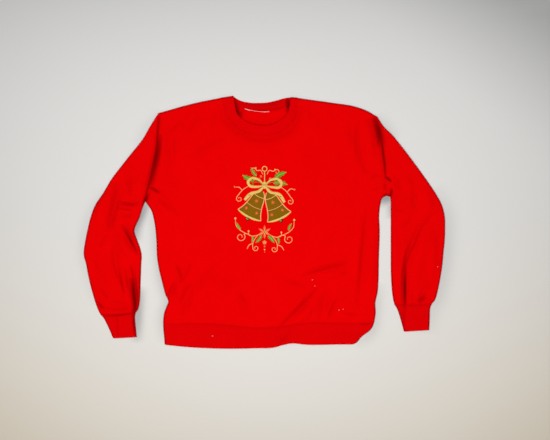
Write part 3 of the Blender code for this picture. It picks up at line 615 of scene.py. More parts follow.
def to_line(points: Array, line: Array) -> tuple[Array, Array]:
    """Measures how far points lie from a line.

    Args:
        points: The points, a row each.
        line: The line's points, a row each.

    Returns:
        Each point's distance, and its place along the line from 0 to 1.
    """
    lengths = arc(line)
    best = np.full(len(points), np.inf)
    place = np.zeros(len(points))
    for start, end, before in zip(line[:-1], line[1:], lengths[:-1]):
        run = end - start
        size = max(float(np.linalg.norm(run)), 1e-6)
        reached = np.clip((points - start) @ run / size**2, 0, 1)
        off = np.linalg.norm(points - start - reached[:, None] * run, axis=1)
        closer = off < best
        best[closer] = off[closer]
        place[closer] = (before + reached[closer] * size) / lengths[-1]
    return best, place


def to_edges(points: Array, lines: list[Array]) -> tuple[Array, Array]:
    """Measures how far points lie from the nearest of several rolled edges.

    Args:
        points: The points, a row each.
        lines: The edges.

    Returns:
        Each point's distance, and the direction from it towards the edge.
    """
    best = np.full(len(points), np.inf)
    towards = np.zeros((len(points), 2))
    for line in lines:
        for start, end in zip(line[:-1], line[1:]):
            run = end - start
            reached = np.clip((points - start) @ run / (run @ run), 0, 1)
            way = start + reached[:, None] * run - points
            size = np.linalg.norm(way, axis=1)
            square = np.tile([-run[1], run[0]] / np.linalg.norm(run), (len(points), 1))
            direction = np.where((size < 0.05)[:, None], square, way / np.maximum(size, 0.05)[:, None])
            closer = size < best - 1e-6
            best[closer] = size[closer]
            towards[closer] = direction[closer]
    return best, towards


def near_box(points: Array, line: Array, room: float) -> Array:
    """Tells which points lie within room of the box round a line."""
    return np.all((points > line.min(axis=0) - room) & (points < line.max(axis=0) + room), axis=1)


# Height of the cloth


def across_shape(off: Array | float, spread: float) -> Array | float:
    """Returns the soft rise across a fold, 1 in its middle, at distances from it."""
    return np.exp(-((off / spread) ** 2))


class Relief:
    """The top of the upper layer: its laid height, folds, creases and seams."""

    def __init__(self, folds: Sequence[Fold], creases: dict[Side, Sequence[Crease]]) -> None:
        """Draws the lines of all folds and creases once.

        Args:
            folds: The large soft folds of the upper layer.
            creases: The narrow creases of each layer.
        """
        self.folds = [(self.bent(fold), fold) for fold in folds]
        self.creases = {}
        for side, rows in creases.items():
            self.creases[side] = [(smooth(crease.points, TABLE_STEP), crease) for crease in rows]
        self.middle = np.mean([PATTERN.neck_left, PATTERN.neck_right, PATTERN.neck_front], axis=0)

    @staticmethod
    def bent(fold: Fold) -> Array:
        """Draws a fold as a curve past its bend.

        Args:
            fold: The fold.

        Returns:
            The points of its line.
        """
        start, stop = np.array([fold.x0, fold.y0]), np.array([fold.x1, fold.y1])
        pull = 2 * np.array([fold.bend_x, fold.bend_y]) - (start + stop) / 2
        t = np.linspace(0, 1, 9)[:, None]
        return (1 - t) ** 2 * start + 2 * t * (1 - t) * pull + t**2 * stop

    @staticmethod
    def near(
        points: Array, lines: list[tuple[Array, Fold | Crease]], reach: float
    ) -> Iterator[tuple[Array, Array, Array, Fold | Crease]]:
        """Walks over the folds or creases that come near some points.

        Args:
            points: Points seen from above.
            lines: The folds or creases, each with its line.
            reach: How far each of them reaches, in its own spreads.

        Yields:
            Which points are near, their distances from the line, how far it has risen there towards its
            full depth in its middle, and the fold or crease.
        """
        for line, made in lines:
            near = near_box(points, line, reach * made.spread)
            if near.any():
                off, place = to_line(points[near], line)
                yield near, off, np.sin(math.pi * np.clip(place, 0, 1)), made

    def height(self, points: Array) -> Array:
        """Finds how high the cloth's top lies.

        Args:
            points: Points seen from above.

        Returns:
            The height of each.
        """
        lift = np.full(len(points), CLOTH.laid_height - CLOTH.lowest)
        for near, off, part, fold in self.near(points, self.folds, 3):
            lift[near] += fold.rise * part**FOLD_FADE * across_shape(off, fold.spread)
        for near, off, part, crease in self.near(points, self.creases[Side.UPPER], 4):
            lips = across_shape(off - LIP_PLACE * crease.spread, crease.spread)
            trough = across_shape(off, crease.spread)
            lift[near] += crease.depth * part**crease.fade * (LIP_RISE * lips - trough)
        off = np.linalg.norm(points - self.middle, axis=1)
        lift += CLOTH.neck_lift * across_shape(off, CLOTH.neck_lift_spread)
        return CLOTH.lowest + (lift + np.sqrt(lift**2 + CLOTH.softening**2)) / 2

    def under(self, points: Array) -> Array:
        """Finds how far creases lift the underside off the floor.

        Args:
            points: Points seen from above.

        Returns:
            The height of each.
        """
        lift = np.zeros(len(points))
        for near, off, part, crease in self.near(points, self.creases[Side.LOWER], 3):
            hollow = crease.depth * part**crease.fade * across_shape(off, crease.spread)
            lift[near] = np.maximum(lift[near], hollow)
        return lift

    def shade(self, points: Array, side: Side) -> Array:
        """Finds how far shade is painted into the bottoms of the creases, from 0 to 1.

        Args:
            points: Points seen from above.
            side: The layer that they are on.

        Returns:
            The painted shade of each.
        """
        dark = np.zeros(len(points))
        for near, off, part, crease in self.near(points, self.creases[side], 3):
            trough = crease.shade * part**crease.fade * across_shape(off, SHADE_WIDTH * crease.spread)
            dark[near] = np.maximum(dark[near], trough)
        # the troughs of the soft folds get painted shade too
        troughs = [pair for pair in self.folds if side is Side.UPPER and pair[1].rise < 0]
        for near, off, part, fold in self.near(points, troughs, 2.5):
            trough = -FOLD_SHADE * fold.rise * part * across_shape(off, SHADE_WIDTH * fold.spread)
            dark[near] = np.maximum(dark[near], trough)
        return dark


RELIEF = Relief(FOLDS, {Side.UPPER: UPPER_CREASES, Side.LOWER: LOWER_CREASES})


def layer(
    points: Array, distance: Array, outwards: Array, level: float, side: Side, lift: float | Array = 0.0
) -> tuple[Array, Array]:
    """Lays points on the upper or the lower layer, turned round its rolled edge.

    Args:
        points: The points, seen from above.
        distance: How far each lies from its rolled edge.
        outwards: The direction from each towards that edge.
        level: The height at which the two layers meet round the edge.
        side: The upper or the lower layer.
        lift: How much higher the upper layer lies.

    Returns:
        The points in space and their normals.
    """
    cosine = np.clip(1 - distance / CLOTH.edge_roll, 0, 1)
    sine = np.sqrt(1 - cosine**2)
    full = CLOTH.lowest + CLOTH.edge_fullness * np.clip(1 - distance / CLOTH.fullness_width, 0, 1)
    if side is Side.UPPER:
        top = np.maximum(RELIEF.height(points), full) + lift
        rise = level + (top - level) * sine
    else:
        rise = level * (1 - sine) + RELIEF.under(points) * sine
    normal = np.column_stack([outwards * cosine[:, None], side.value * sine])
    return np.column_stack([points, rise]), normal


def rim_shade(normals: Array) -> Array:
    """Returns how much shade is painted on rolled edges, from their normals."""
    return RIM_SHADE * np.linalg.norm(normals[..., :2], axis=-1) ** RIM_SHADE_FADE


# Meshes


def cloth_object(
    name: str, grid: Array, dark: Array | None = None, tube: bool = False, straight_grain: bool = False
) -> Piece:
    """Makes a piece of cloth from a grid of points.

    Args:
        name: The object's name.
        grid: Rows of points in the tables' millimetres.
        dark: How much shade is painted into each point's colour, from 0 to 1.
        tube: Whether the last column is the first one again.
        straight_grain: Whether the knit runs straight down the piece, and not along its columns.

    Returns:
        The object, with a UV map in metres across and along the knit and a crease attribute that carries the
        painted shade.
    """
    rows, columns = grid.shape[:2]
    bm = bmesh.new()
    bmesh.ops.create_grid(bm, x_segments=columns - 1, y_segments=rows - 1, size=0.5)
    uv = bm.loops.layers.uv.new("cloth")
    crease = bm.verts.layers.float.new("crease")
    across = np.concatenate([[0.0], np.cumsum(np.linalg.norm(np.diff(grid, axis=1), axis=2).mean(axis=0))])
    down = np.concatenate([[0.0], np.cumsum(np.linalg.norm(np.diff(grid, axis=0), axis=2).mean(axis=1))])
    places = {}
    for vert in bm.verts:
        places[vert] = (round((vert.co.y + 0.5) * (rows - 1)), round((vert.co.x + 0.5) * (columns - 1)))
    for face in bm.faces:
        for loop in face.loops:
            row, column = places[loop.vert]
            knit = grid[row, column, :2] if straight_grain else (across[column], down[row])
            loop[uv].uv = (knit[0] * MM, knit[1] * MM)
    shift = np.array([*CENTRE, 0.0])
    for vert, (row, column) in places.items():
        vert.co = (grid[row, column] - shift) * MM
        vert[crease] = 0.0 if dark is None else dark[row, column]
    if tube:
        bmesh.ops.remove_doubles(bm, verts=bm.verts[:], dist=1e-6)
        bmesh.ops.recalc_face_normals(bm, faces=bm.faces[:])
    return mesh_object(name, bm)


def mesh_object(name: str, bm: bmesh.types.BMesh) -> Piece:
    """Makes a smooth-shaded object in the scene from a bmesh, which it frees.

    Args:
        name: The object's name.
        bm: Its mesh.

    Returns:
        The object.
    """
    mesh = bpy.data.meshes.new(name)
    bm.to_mesh(mesh)
    bm.free()
    mesh.shade_smooth()
    made = bpy.data.objects.new(name, mesh)
    bpy.context.scene.collection.objects.link(made)
    return made


def thicken(piece: Piece, wall: float) -> None:
    """Gives a shell its wall, inwards from its outer face.

    Args:
        piece: The shell.
        wall: The thickness in millimetres.
    """
    solidify = piece.modifiers.new("wall", "SOLIDIFY")
    solidify.thickness = wall * MM
    solidify.offset = -1


def face_up(piece: Piece, upwards: bool) -> None:
    """Turns an open panel's faces the right way.

    Args:
        piece: The panel.
        upwards: Whether they face up, or down.
    """
    mean = sum(polygon.normal.z * polygon.area for polygon in piece.data.polygons)
    if (mean > 0) != upwards:
        piece.data.flip_normals()


@dataclass(frozen=True)
class Cut:
    """The flat cut of what shows of a piece, in metres, all round on a tube."""

    width: float
    length: float
    area: float


def dress(piece: Piece, solid: str, slot: str, material: bpy.types.Material) -> None:
    """Gives a piece its material and its body, and hides the solid that it stands for.

    Args:
        piece: The finished piece.
        solid: The solid's node that it replaces, or an empty text.
        slot: Not used.
        material: The finish.
    """
    piece.data.materials.append(material)
    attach(piece, "root")
    if solid:
        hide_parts(solid)
    LOG.info("%s: %d faces", piece.name, len(piece.data.polygons))


# Finishes

WAVE = math.pi / 10  # a wave texture's period at a scale of 1
FACTOR, VALUE_A, VALUE_B, COLOUR_A, COLOUR_B = 0, 2, 3, 6, 7  # the inputs of a Mix node
MIXED = 2  # its colour output


def linear(code: str) -> tuple[float, float, float, float]:
    """Turns an sRGB hex value into a linear colour.

    Args:
        code: The value.

    Returns:
        Its red, green and blue, and an alpha of 1.
    """
    parts = [int(code[k : k + 2], 16) / 255 for k in (1, 3, 5)]
    red, green, blue = (c / 12.92 if c <= 0.04045 else ((c + 0.055) / 1.055) ** 2.4 for c in parts)
    return red, green, blue, 1.0


def set_node(tree: bpy.types.NodeTree, made: bpy.types.Node, settings: dict, links: dict) -> None:
    """Sets a node of a material.

    Args:
        tree: The material's node tree.
        made: The node.
        settings: Properties by name, and input values by input name or index.
        links: Sockets to link into the inputs, by input name or index.
    """
    for key, value in settings.items():
        if isinstance(key, str) and key not in made.inputs:
            setattr(made, key, value)
        else:
            made.inputs[key].default_value = value
    for key, source in links.items():
        tree.links.new(source, made.inputs[key])


def node(tree: bpy.types.NodeTree, kind: str, settings: dict, links: dict) -> bpy.types.Node:
    """Adds a node to a material.

    Args:
        tree: The material's node tree.
        kind: The node's type, without the word ShaderNode.
        settings: Its settings, as set_node takes them.
        links: Its links.

    Returns:
        The node.
    """
    made = tree.nodes.new("ShaderNode" + kind)
    set_node(tree, made, settings, links)
    return made


def new_material(name: str) -> tuple[bpy.types.Material, bpy.types.NodeTree, bpy.types.Node]:
    """Makes a material with nodes.

    Args:
        name: The material's name.

    Returns:
        The material, its node tree and its Principled shader.
    """
    material = bpy.data.materials.new(name)
    material.use_nodes = True
    return material, material.node_tree, material.node_tree.nodes["Principled BSDF"]


@dataclass(frozen=True)
class KnitFinish:
    """Dyed cotton knit, with painted shade in creases and on rolled edges. Fine wales and a soft nap break
    up the light, so that it looks matt and even.
    """

    name: str
    colour: str
    # the colour of the painted shade
    shadow: str
    sheen: float
    wale: float  # millimetres between columns of loops, drawn coarser than the real 0.9 so that they show
    wale_depth: float
    nap_depth: float
    nap: float = 1.6  # millimetres across a tuft
    drape_depth: float = 2.2  # of the slight unevenness with which worn cloth lies
    drape: float = 38.0  # millimetres across a patch of it
    blotch: float = 45.0  # millimetres across a patch of slightly uneven dye

    def material(self) -> bpy.types.Material:
        """Builds the material.

        Returns:
            The finished material.
        """
        material, tree, shader = new_material(self.name)
        surface = node(tree, "TexCoord", {}, {}).outputs
        clouds = {"Scale": 1 / (self.blotch * MM), "Detail": 3.0}
        uneven = node(tree, "TexNoise", clouds, {"Vector": surface["Object"]})
        tufts = {"Scale": 1 / (self.nap * MM), "Detail": 4.0}
        fuzz = node(tree, "TexNoise", tufts, {"Vector": surface["Object"]})
        sources = {VALUE_A: uneven.outputs[0], VALUE_B: fuzz.outputs[0]}
        grain = node(tree, "Mix", {"data_type": "FLOAT", "Factor": 0.35}, sources)
        range_of_tone = {"From Min": 0.3, "From Max": 0.7, "To Min": 0.965, "To Max": 1.02}
        tone = node(tree, "MapRange", range_of_tone, {"Value": grain.outputs[0]})
        dye = {"data_type": "RGBA", "blend_type": "MULTIPLY", "Factor": 1.0, COLOUR_A: linear(self.colour)}
        dyed = node(tree, "Mix", dye, {COLOUR_B: tone.outputs[0]})
        # The crease attribute mixes in the shadow colour: painted shade in creases, in fold troughs and on
        # rolled edges.
        crease = node(tree, "Attribute", {"attribute_name": "crease"}, {})
        shadow = {"data_type": "RGBA", COLOUR_B: linear(self.shadow)}
        sources = {FACTOR: crease.outputs["Fac"], COLOUR_A: dyed.outputs[MIXED]}
        dark = node(tree, "Mix", shadow, sources)
        rumpled = self.bump(tree, surface, fuzz.outputs[0])
        look = {
            "Roughness": 0.95,
            "Specular IOR Level": 0.12,
            "Specular Tint": linear(self.colour),
            "Sheen Weight": self.sheen,
            "Sheen Roughness": 0.6,
            "Sheen Tint": linear(self.colour),
        }
        set_node(tree, shader, look, {"Base Color": dark.outputs[MIXED], "Normal": rumpled})
        return material

    def bump(self, tree: bpy.types.NodeTree, surface: bpy.types.bpy_prop_collection, fuzz: Socket) -> Socket:
        """Raises the wales and the nap.

        Args:
            tree: The material's node tree.
            surface: The texture coordinates.
            fuzz: The nap's noise.

        Returns:
            The bumped normal.
        """
        columns = {"Scale": WAVE / (self.wale * MM), "Distortion": 0.6, "Detail Scale": 2.0}
        wales = node(tree, "TexWave", {"bands_direction": "X", **columns}, {"Vector": surface["UV"]})
        depth = {"Strength": 0.6, "Distance": self.wale_depth * MM}
        ribs = node(tree, "Bump", depth, {"Height": wales.outputs["Fac"]})
        depth = {"Strength": 0.7, "Distance": self.nap_depth * MM}
        nap = node(tree, "Bump", depth, {"Height": fuzz, "Normal": ribs.outputs[0]})
        patches = {"Scale": 1 / (self.drape * MM), "Detail": 2.0}
        drape = node(tree, "TexNoise", patches, {"Vector": surface["Object"]})
        depth = {"Strength": 1.0, "Distance": self.drape_depth * MM}
        rumpled = node(tree, "Bump", depth, {"Height": drape.outputs[0], "Normal": nap.outputs[0]})
        return rumpled.outputs[0]


# Brushed cotton fleece, reactive-dyed red: a plain jersey face with a slight nap. Its second colour is the
# painted shade.
FLEECE = KnitFinish("Red brushed fleece", "#d80103", "#4a0001", 0.10, 1.5, 0.28, 0.45)
# 1x1 cotton rib in the same dye: a little flatter and smoother than the fleece. Its second colour is the
#                                 painted shade.
RIB = KnitFinish("Red cotton rib", "#ce0104", "#460001", 0.08, 1.3, 0.20, 0.25)


@dataclass(frozen=True)
class PlainFinish:
    """A plain matt finish with a fine, slightly uneven grain, for the label, the lint and the sewing."""

    name: str
    colour: str
    patches: str
    roughness: float
    grain: float  # millimetres
    depth: float

    def material(self) -> bpy.types.Material:
        """Builds the material.

        Returns:
            The finished material.
        """
        material, tree, shader = new_material(self.name)
        surface = node(tree, "TexCoord", {}, {}).outputs
        grain = {"Scale": 1 / (self.grain * MM), "Detail": 3.0}
        noise = node(tree, "TexNoise", grain, {"Vector": surface["Object"]})
        depth = {"Strength": 0.4, "Distance": self.depth * MM}
        raised = node(tree, "Bump", depth, {"Height": noise.outputs[0]})
        tones = {"data_type": "RGBA", COLOUR_A: linear(self.colour), COLOUR_B: linear(self.patches)}
        tone = node(tree, "Mix", tones, {FACTOR: noise.outputs[0]})
        look = {
            "Roughness": self.roughness,
            "Specular IOR Level": 0.2,
            "Specular Tint": linear(self.colour),
        }
        set_node(tree, shader, look, {"Base Color": tone.outputs[MIXED], "Normal": raised.outputs[0]})
        return material


@dataclass(frozen=True)
class ThreadFinish:
    """Rayon embroidery thread in satin stitch. Its strands catch the light one by one, so that it glints;
    shade between the strands and patches of lustre are painted into its colour.
    """

    name: str
    colour: str
    # the colour of the painted shade between the strands
    shade: str
    pitch: float = 1.1  # millimetres from strand to strand, drawn coarser than the real 0.4
    strand_depth: float = 0.35
    lustre: float = 2.5  # millimetres across a patch of painted, uneven lustre

    def material(self) -> bpy.types.Material:
        """Builds the material.

        Returns:
            The finished material.
        """
        material, tree, shader = new_material(self.name)
        surface = node(tree, "TexCoord", {}, {}).outputs
        rows = {"Scale": WAVE / (self.pitch * MM), "Distortion": 1.2, "Detail": 1.0}
        strands = node(tree, "TexWave", {"bands_direction": "Y", **rows}, {"Vector": surface["UV"]})
        patches = {"Scale": 1 / (self.lustre * MM), "Detail": 2.0}
        uneven = node(tree, "TexNoise", patches, {"Vector": surface["Object"]})
        # The strands' waves and the lustre's patches mix in the shade colour: painted shade between strands
        # and painted lustre.
        sources = {VALUE_A: strands.outputs["Fac"], VALUE_B: uneven.outputs[0]}
        between = node(tree, "Mix", {"data_type": "FLOAT", "Factor": 0.45}, sources)
        tones = {"data_type": "RGBA", COLOUR_A: linear(self.shade), COLOUR_B: linear(self.colour)}
        tone = node(tree, "Mix", tones, {FACTOR: between.outputs[0]})
        depth = {"Strength": 0.8, "Distance": self.strand_depth * MM}
        raised = node(tree, "Bump", depth, {"Height": strands.outputs["Fac"]})
        look = {
            "Roughness": 0.45,
            "Specular IOR Level": 0.3,
            "Specular Tint": linear(self.colour),
            "Anisotropic": 0.5,
        }
        set_node(tree, shader, look, {"Base Color": tone.outputs[MIXED], "Normal": raised.outputs[0]})
        return material


LABEL = PlainFinish("White woven label", "#f4f3f0", "#e4dedb", 0.7, 0.6, 0.1)
LINT = PlainFinish("White lint", "#f2f0ee", "#e0d6d2", 0.9, 0.4, 0.05)
SEWING = PlainFinish("Red sewing thread", "#e20508", "#d40406", 0.6, 0.3, 0.1)


@dataclass(frozen=True)
class FloorFinish:
    """Pale matt paint, with painted shade and painted warm light towards the far ends of the room."""

    name: str
    colour: str
    shade: str
    warmth: str

    def material(self) -> bpy.types.Material:
        """Builds the material.

        Returns:
            The finished material.
        """
        material, tree, shader = new_material(self.name)
        # painted warm light and painted shade, from the floor's warm and dark attributes
        warm = node(tree, "Attribute", {"attribute_name": "warm"}, {})
        dark = node(tree, "Attribute", {"attribute_name": "dark"}, {})
        tones = {"data_type": "RGBA", COLOUR_A: linear(self.colour), COLOUR_B: linear(self.warmth)}
        warmed = node(tree, "Mix", tones, {FACTOR: warm.outputs["Fac"]})
        shade = {"data_type": "RGBA", COLOUR_B: linear(self.shade)}
        sources = {FACTOR: dark.outputs["Fac"], COLOUR_A: warmed.outputs[MIXED]}
        shaded = node(tree, "Mix", shade, sources)
        look = {"Roughness": 0.9, "Specular IOR Level": 0.2}
        set_node(tree, shader, look, {"Base Color": shaded.outputs[MIXED]})
        return material


# Its second colour is the painted shade and its third the painted warm light.
FLOOR = FloorFinish("Pale matt floor", "#d1d0ce", "#7e8080", "#ccb482")


class Thread(Enum):
    """The embroidery's threads, each with a slot name and its finish."""

    BROWN = ("thread_brown", ThreadFinish("Brown embroidery thread", "#90680f", "#6a4606"))
    PEACH = ("thread_peach", ThreadFinish("Peach embroidery thread", "#ffbd82", "#f09258"))
    CORAL = ("thread_peach", ThreadFinish("Coral embroidery thread", "#ff8050", "#e85a32"))
    GOLD = ("thread_gold", ThreadFinish("Gold embroidery thread", "#efd07a", "#c49a40"))
    GREEN = ("thread_green", ThreadFinish("Bright green embroidery thread", "#62b02e", "#3c7f1c"))
    OLIVE = ("thread_green", ThreadFinish("Olive embroidery thread", "#8c9c34", "#5f6e20"))
    DARK = ("thread_dark", ThreadFinish("Dark embroidery thread", "#2c281c", "#17140e"))


# Body panels


@dataclass
class BodyPanel:
    """The front or the back, from the hem seam to the shoulders."""

    name: str
    neckline: Points
    side: Side
    shoulder_columns: tuple[int, int]
    neckline_columns: int
    side_rows: int
    armhole_rows: int

    def shoulder(self, points: Points, neck_point: Point) -> Array:
        """Returns the part of a shoulder's edge between its tip and the collar seam.

        Args:
            points: The shoulder's points.
            neck_point: Where the collar seam crosses it.

        Returns:
            The line from left to right.
        """
        line = smooth(points)
        reach = np.linalg.norm(line - np.array(neck_point), axis=1).argmin()
        return line[: reach + 1] if neck_point == PATTERN.neck_left else line[reach:]

    def top(self) -> Array:
        """Draws the panel's upper edge.

        Returns:
            The line of the left shoulder, the neckline and the right shoulder.
        """
        first = self.shoulder(PATTERN.shoulder_left, PATTERN.neck_left)
        last = self.shoulder(PATTERN.shoulder_right, PATTERN.neck_right)
        neck = smooth(self.neckline)
        start = np.linspace(CLOTH.edge_roll, arc(first)[-1], self.shoulder_columns[0] + 1)
        length = arc(last)[-1]
        stop = np.linspace(0, length - CLOTH.edge_roll, self.shoulder_columns[1] + 1)
        return np.vstack([
            along(first, np.concatenate([ROLLED_EDGE[:-1], start]))[:-1],
            along(neck, np.linspace(0, arc(neck)[-1], self.neckline_columns + 1))[:-1],
            along(last, np.concatenate([stop, length - ROLLED_EDGE[-2::-1]])),
        ])

    def flank(self, side: Points, armhole: Points) -> Array:
        """Returns one side, from the hem seam past the underarm to the tip of the shoulder.

        Args:
            side: The side's points.
            armhole: The armhole's points.

        Returns:
            The line upwards.
        """
        seam = smooth(side)
        hole = smooth(armhole)
        even = np.linspace(0, arc(seam)[-1], self.side_rows + 1)
        lower = along(seam, np.insert(even, 1, SEAM_ROW))
        upper = along(hole, rolled_steps(arc(hole)[-1], self.armhole_rows))
        return np.vstack([lower, upper[1:]])

    def build(self) -> Piece:
        """Makes the panel's shell.

        Returns:
            The object.
        """
        left = self.flank(PATTERN.side_left, PATTERN.armhole_left)
        right = self.flank(PATTERN.side_right, PATTERN.armhole_right)
        top = self.top()
        seam = smooth(PATTERN.hem_seam)
        bottom = along(seam, rolled_steps(arc(seam)[-1], len(top) - 2 * ROLL_COLUMNS - 1))
        flat = patch(bottom, top, left, right)
        flat[..., 1] += self.level_rows(left, right, top)
        points = flat.reshape(-1, 2)
        rolled = [left[self.side_rows + 1 :: -2], right[self.side_rows + 1 :: -2]]
        shoulders = (PATTERN.shoulder_left, PATTERN.neck_left), (PATTERN.shoulder_right, PATTERN.neck_right)
        rolled += [self.shoulder(*pair)[::3] for pair in shoulders]
        distance, outwards = to_edges(points, rolled)
        half_gap = self.side.value * CLOTH.seam_gap / 2
        pinch = self.pinch(points) if self.side is Side.UPPER else 0.0
        outer, normals = layer(points, distance, outwards, CLOTH.edge_level + half_gap, self.side, -pinch)
        # painted shade in the creases and on the rolled edges
        dark = np.maximum(RELIEF.shade(points, self.side), rim_shade(normals))
        shape = flat.shape[:2]
        panel = cloth_object(self.name, outer.reshape(*shape, 3), dark.reshape(shape), straight_grain=True)
        face_up(panel, self.side is Side.UPPER)
        thicken(panel, CLOTH.fleece)
        return panel

    @staticmethod
    def level_rows(left: Array, right: Array, top: Array) -> Array:
        """Keeps the neckline's dip to the upper rows, so that the rows near the underarm run level.

        Args:
            left: The left flank.
            right: The right flank.
            top: The top line.

        Returns:
            How far each point of the grid moves up.
        """
        v = (share(left[:, 1]) + share(right[:, 1]))[:, None] / 2
        u = share(top[:, 0])
        dip = top[:, 1] - (1 - u) * top[0, 1] - u * top[-1, 1]
        return (v**NECK_DIP_FADE - v) * dip

    def pinch(self, points: Array) -> Array:
        """Finds how far the seams draw the cloth down.

        Args:
            points: Points seen from above.

        Returns:
            The depth at each.
        """
        down = np.zeros(len(points))
        for line in (self.neckline, PATTERN.hem_seam, PATTERN.armhole_left, PATTERN.armhole_right):
            off = to_line(points, smooth(line, TABLE_STEP))[0]
            down = np.maximum(down, SEAM_PINCH * across_shape(off, SEAM_PINCH_SPREAD))
        return down


# Sleeves, cuffs and the hem band


def ring(line: Array, steps: Array, lift: float) -> tuple[Array, Array]:
    """Lays one section of a flattened tube, round its upper and then its lower layer.

    Args:
        line: The line across the tube, seen from above.
        steps: The lengths across it.
        lift: How much higher the upper layer lies.

    Returns:
        The points round the section and their normals, the first point repeated at the end.
    """
    points = []
    normals = []
    length = arc(line)[-1]
    first = (line[0] - line[1]) / np.linalg.norm(line[0] - line[1])
    last = (line[-1] - line[-2]) / np.linalg.norm(line[-1] - line[-2])
    for lengths, side in ((steps, Side.UPPER), (steps[-2:0:-1], Side.LOWER)):
        outwards = np.where((lengths < length / 2)[:, None], first, last)
        distance = np.minimum(lengths, length - lengths)
        placed, normal = layer(along(line, lengths), distance, outwards, CLOTH.edge_level, side, lift)
        points.append(placed)
        normals.append(normal)
    points.append(points[0][:1])
    normals.append(normals[0][:1])
    return np.vstack(points), np.vstack(normals)


def across(section: Array, steps: int = 40) -> Array:
    """Returns the straight line across a tube between a section's outer and inner point."""
    t = np.linspace(0, 1, steps + 1)[:, None]
    return (1 - t) * section[:2] + t * section[2:]


def sections_between(sections: Sequence[Section], rows: int) -> tuple[Array, Array]:
    """Rounds a table of sections into many, with a narrow row at each seam.

    Args:
        sections: The sections.
        rows: How many rows come from each span between two of them.

    Returns:
        Each row's place in the table, and its outer and inner point.
    """
    ends = np.array([[s.outer_x, s.outer_y, s.inner_x, s.inner_y] for s in sections], float)
    slope = np.gradient(ends, axis=0)
    last = len(ends) - 1
    narrow = SEAM_ROW / np.linalg.norm(ends[[1, -1]] - ends[[0, -2]], axis=1)
    place = np.linspace(0, last, rows * last + 1)
    place = np.concatenate([[0.0, narrow[0]], place[1:-1], [last - narrow[1], last]])
    span = np.minimum(place.astype(int), last - 1)
    t = (place - span)[:, None]
    return place, cubic(ends, slope, span, t)


@dataclass
class Sleeve:
    """A set-in sleeve from the armhole to the cuff seam."""

    name: str
    sections: Sequence[Section]
    armhole: Points
    hand: int  # -1 at the left, 1 at the right
    columns: int = 84
    rows_per_section: int = 10
    bow_sections: float = 5.0  # sections over which the armhole's curve fades out

    def build(self) -> Piece:
        """Makes the sleeve's shell.

        Returns:
            The object.
        """
        hole = smooth(self.armhole)[::-1]
        tangent = np.gradient(hole, axis=0)
        square = self.hand * np.column_stack([-tangent[:, 1], tangent[:, 0]])
        hole = hole + CLOTH.seam_gap * square / np.linalg.norm(square, axis=1)[:, None]
        places, ends = sections_between(self.sections, self.rows_per_section)
        chord = across(ends[0])
        bow = along(hole, np.linspace(0, arc(hole)[-1], len(chord))) - chord
        rows = []
        dark = []
        for place, section in zip(places, ends):
            line = across(section) + max(0.0, 1 - place / self.bow_sections) ** 2 * bow
            steps = rolled_steps(arc(line)[-1], self.columns)
            off = np.linalg.norm(along(line, steps) - along(hole, steps * arc(hole)[-1] / steps[-1]), axis=1)
            from_cuff = np.linalg.norm(section[:2] - ends[-1][:2])
            drop = SEAM_PINCH * across_shape(np.minimum(off, from_cuff), SEAM_PINCH_SPREAD)
            placed, normals = ring(line, steps, 0.0)
            inwards = np.minimum(steps, steps[-1] - steps) / CLOTH.edge_roll
            placed[: len(steps), 2] -= drop * np.clip(inwards, 0, 1)
            rows.append(placed)
            # painted shade in the creases of each layer and on the rolled edges
            shade = RELIEF.shade(placed[:, :2], Side.UPPER)
            shade[len(steps) : -1] = RELIEF.shade(placed[len(steps) : -1, :2], Side.LOWER)
            dark.append(np.maximum(shade, rim_shade(normals)))
        sleeve = cloth_object(self.name, np.array(rows), np.array(dark), tube=True)
        thicken(sleeve, CLOTH.fleece)
        return sleeve


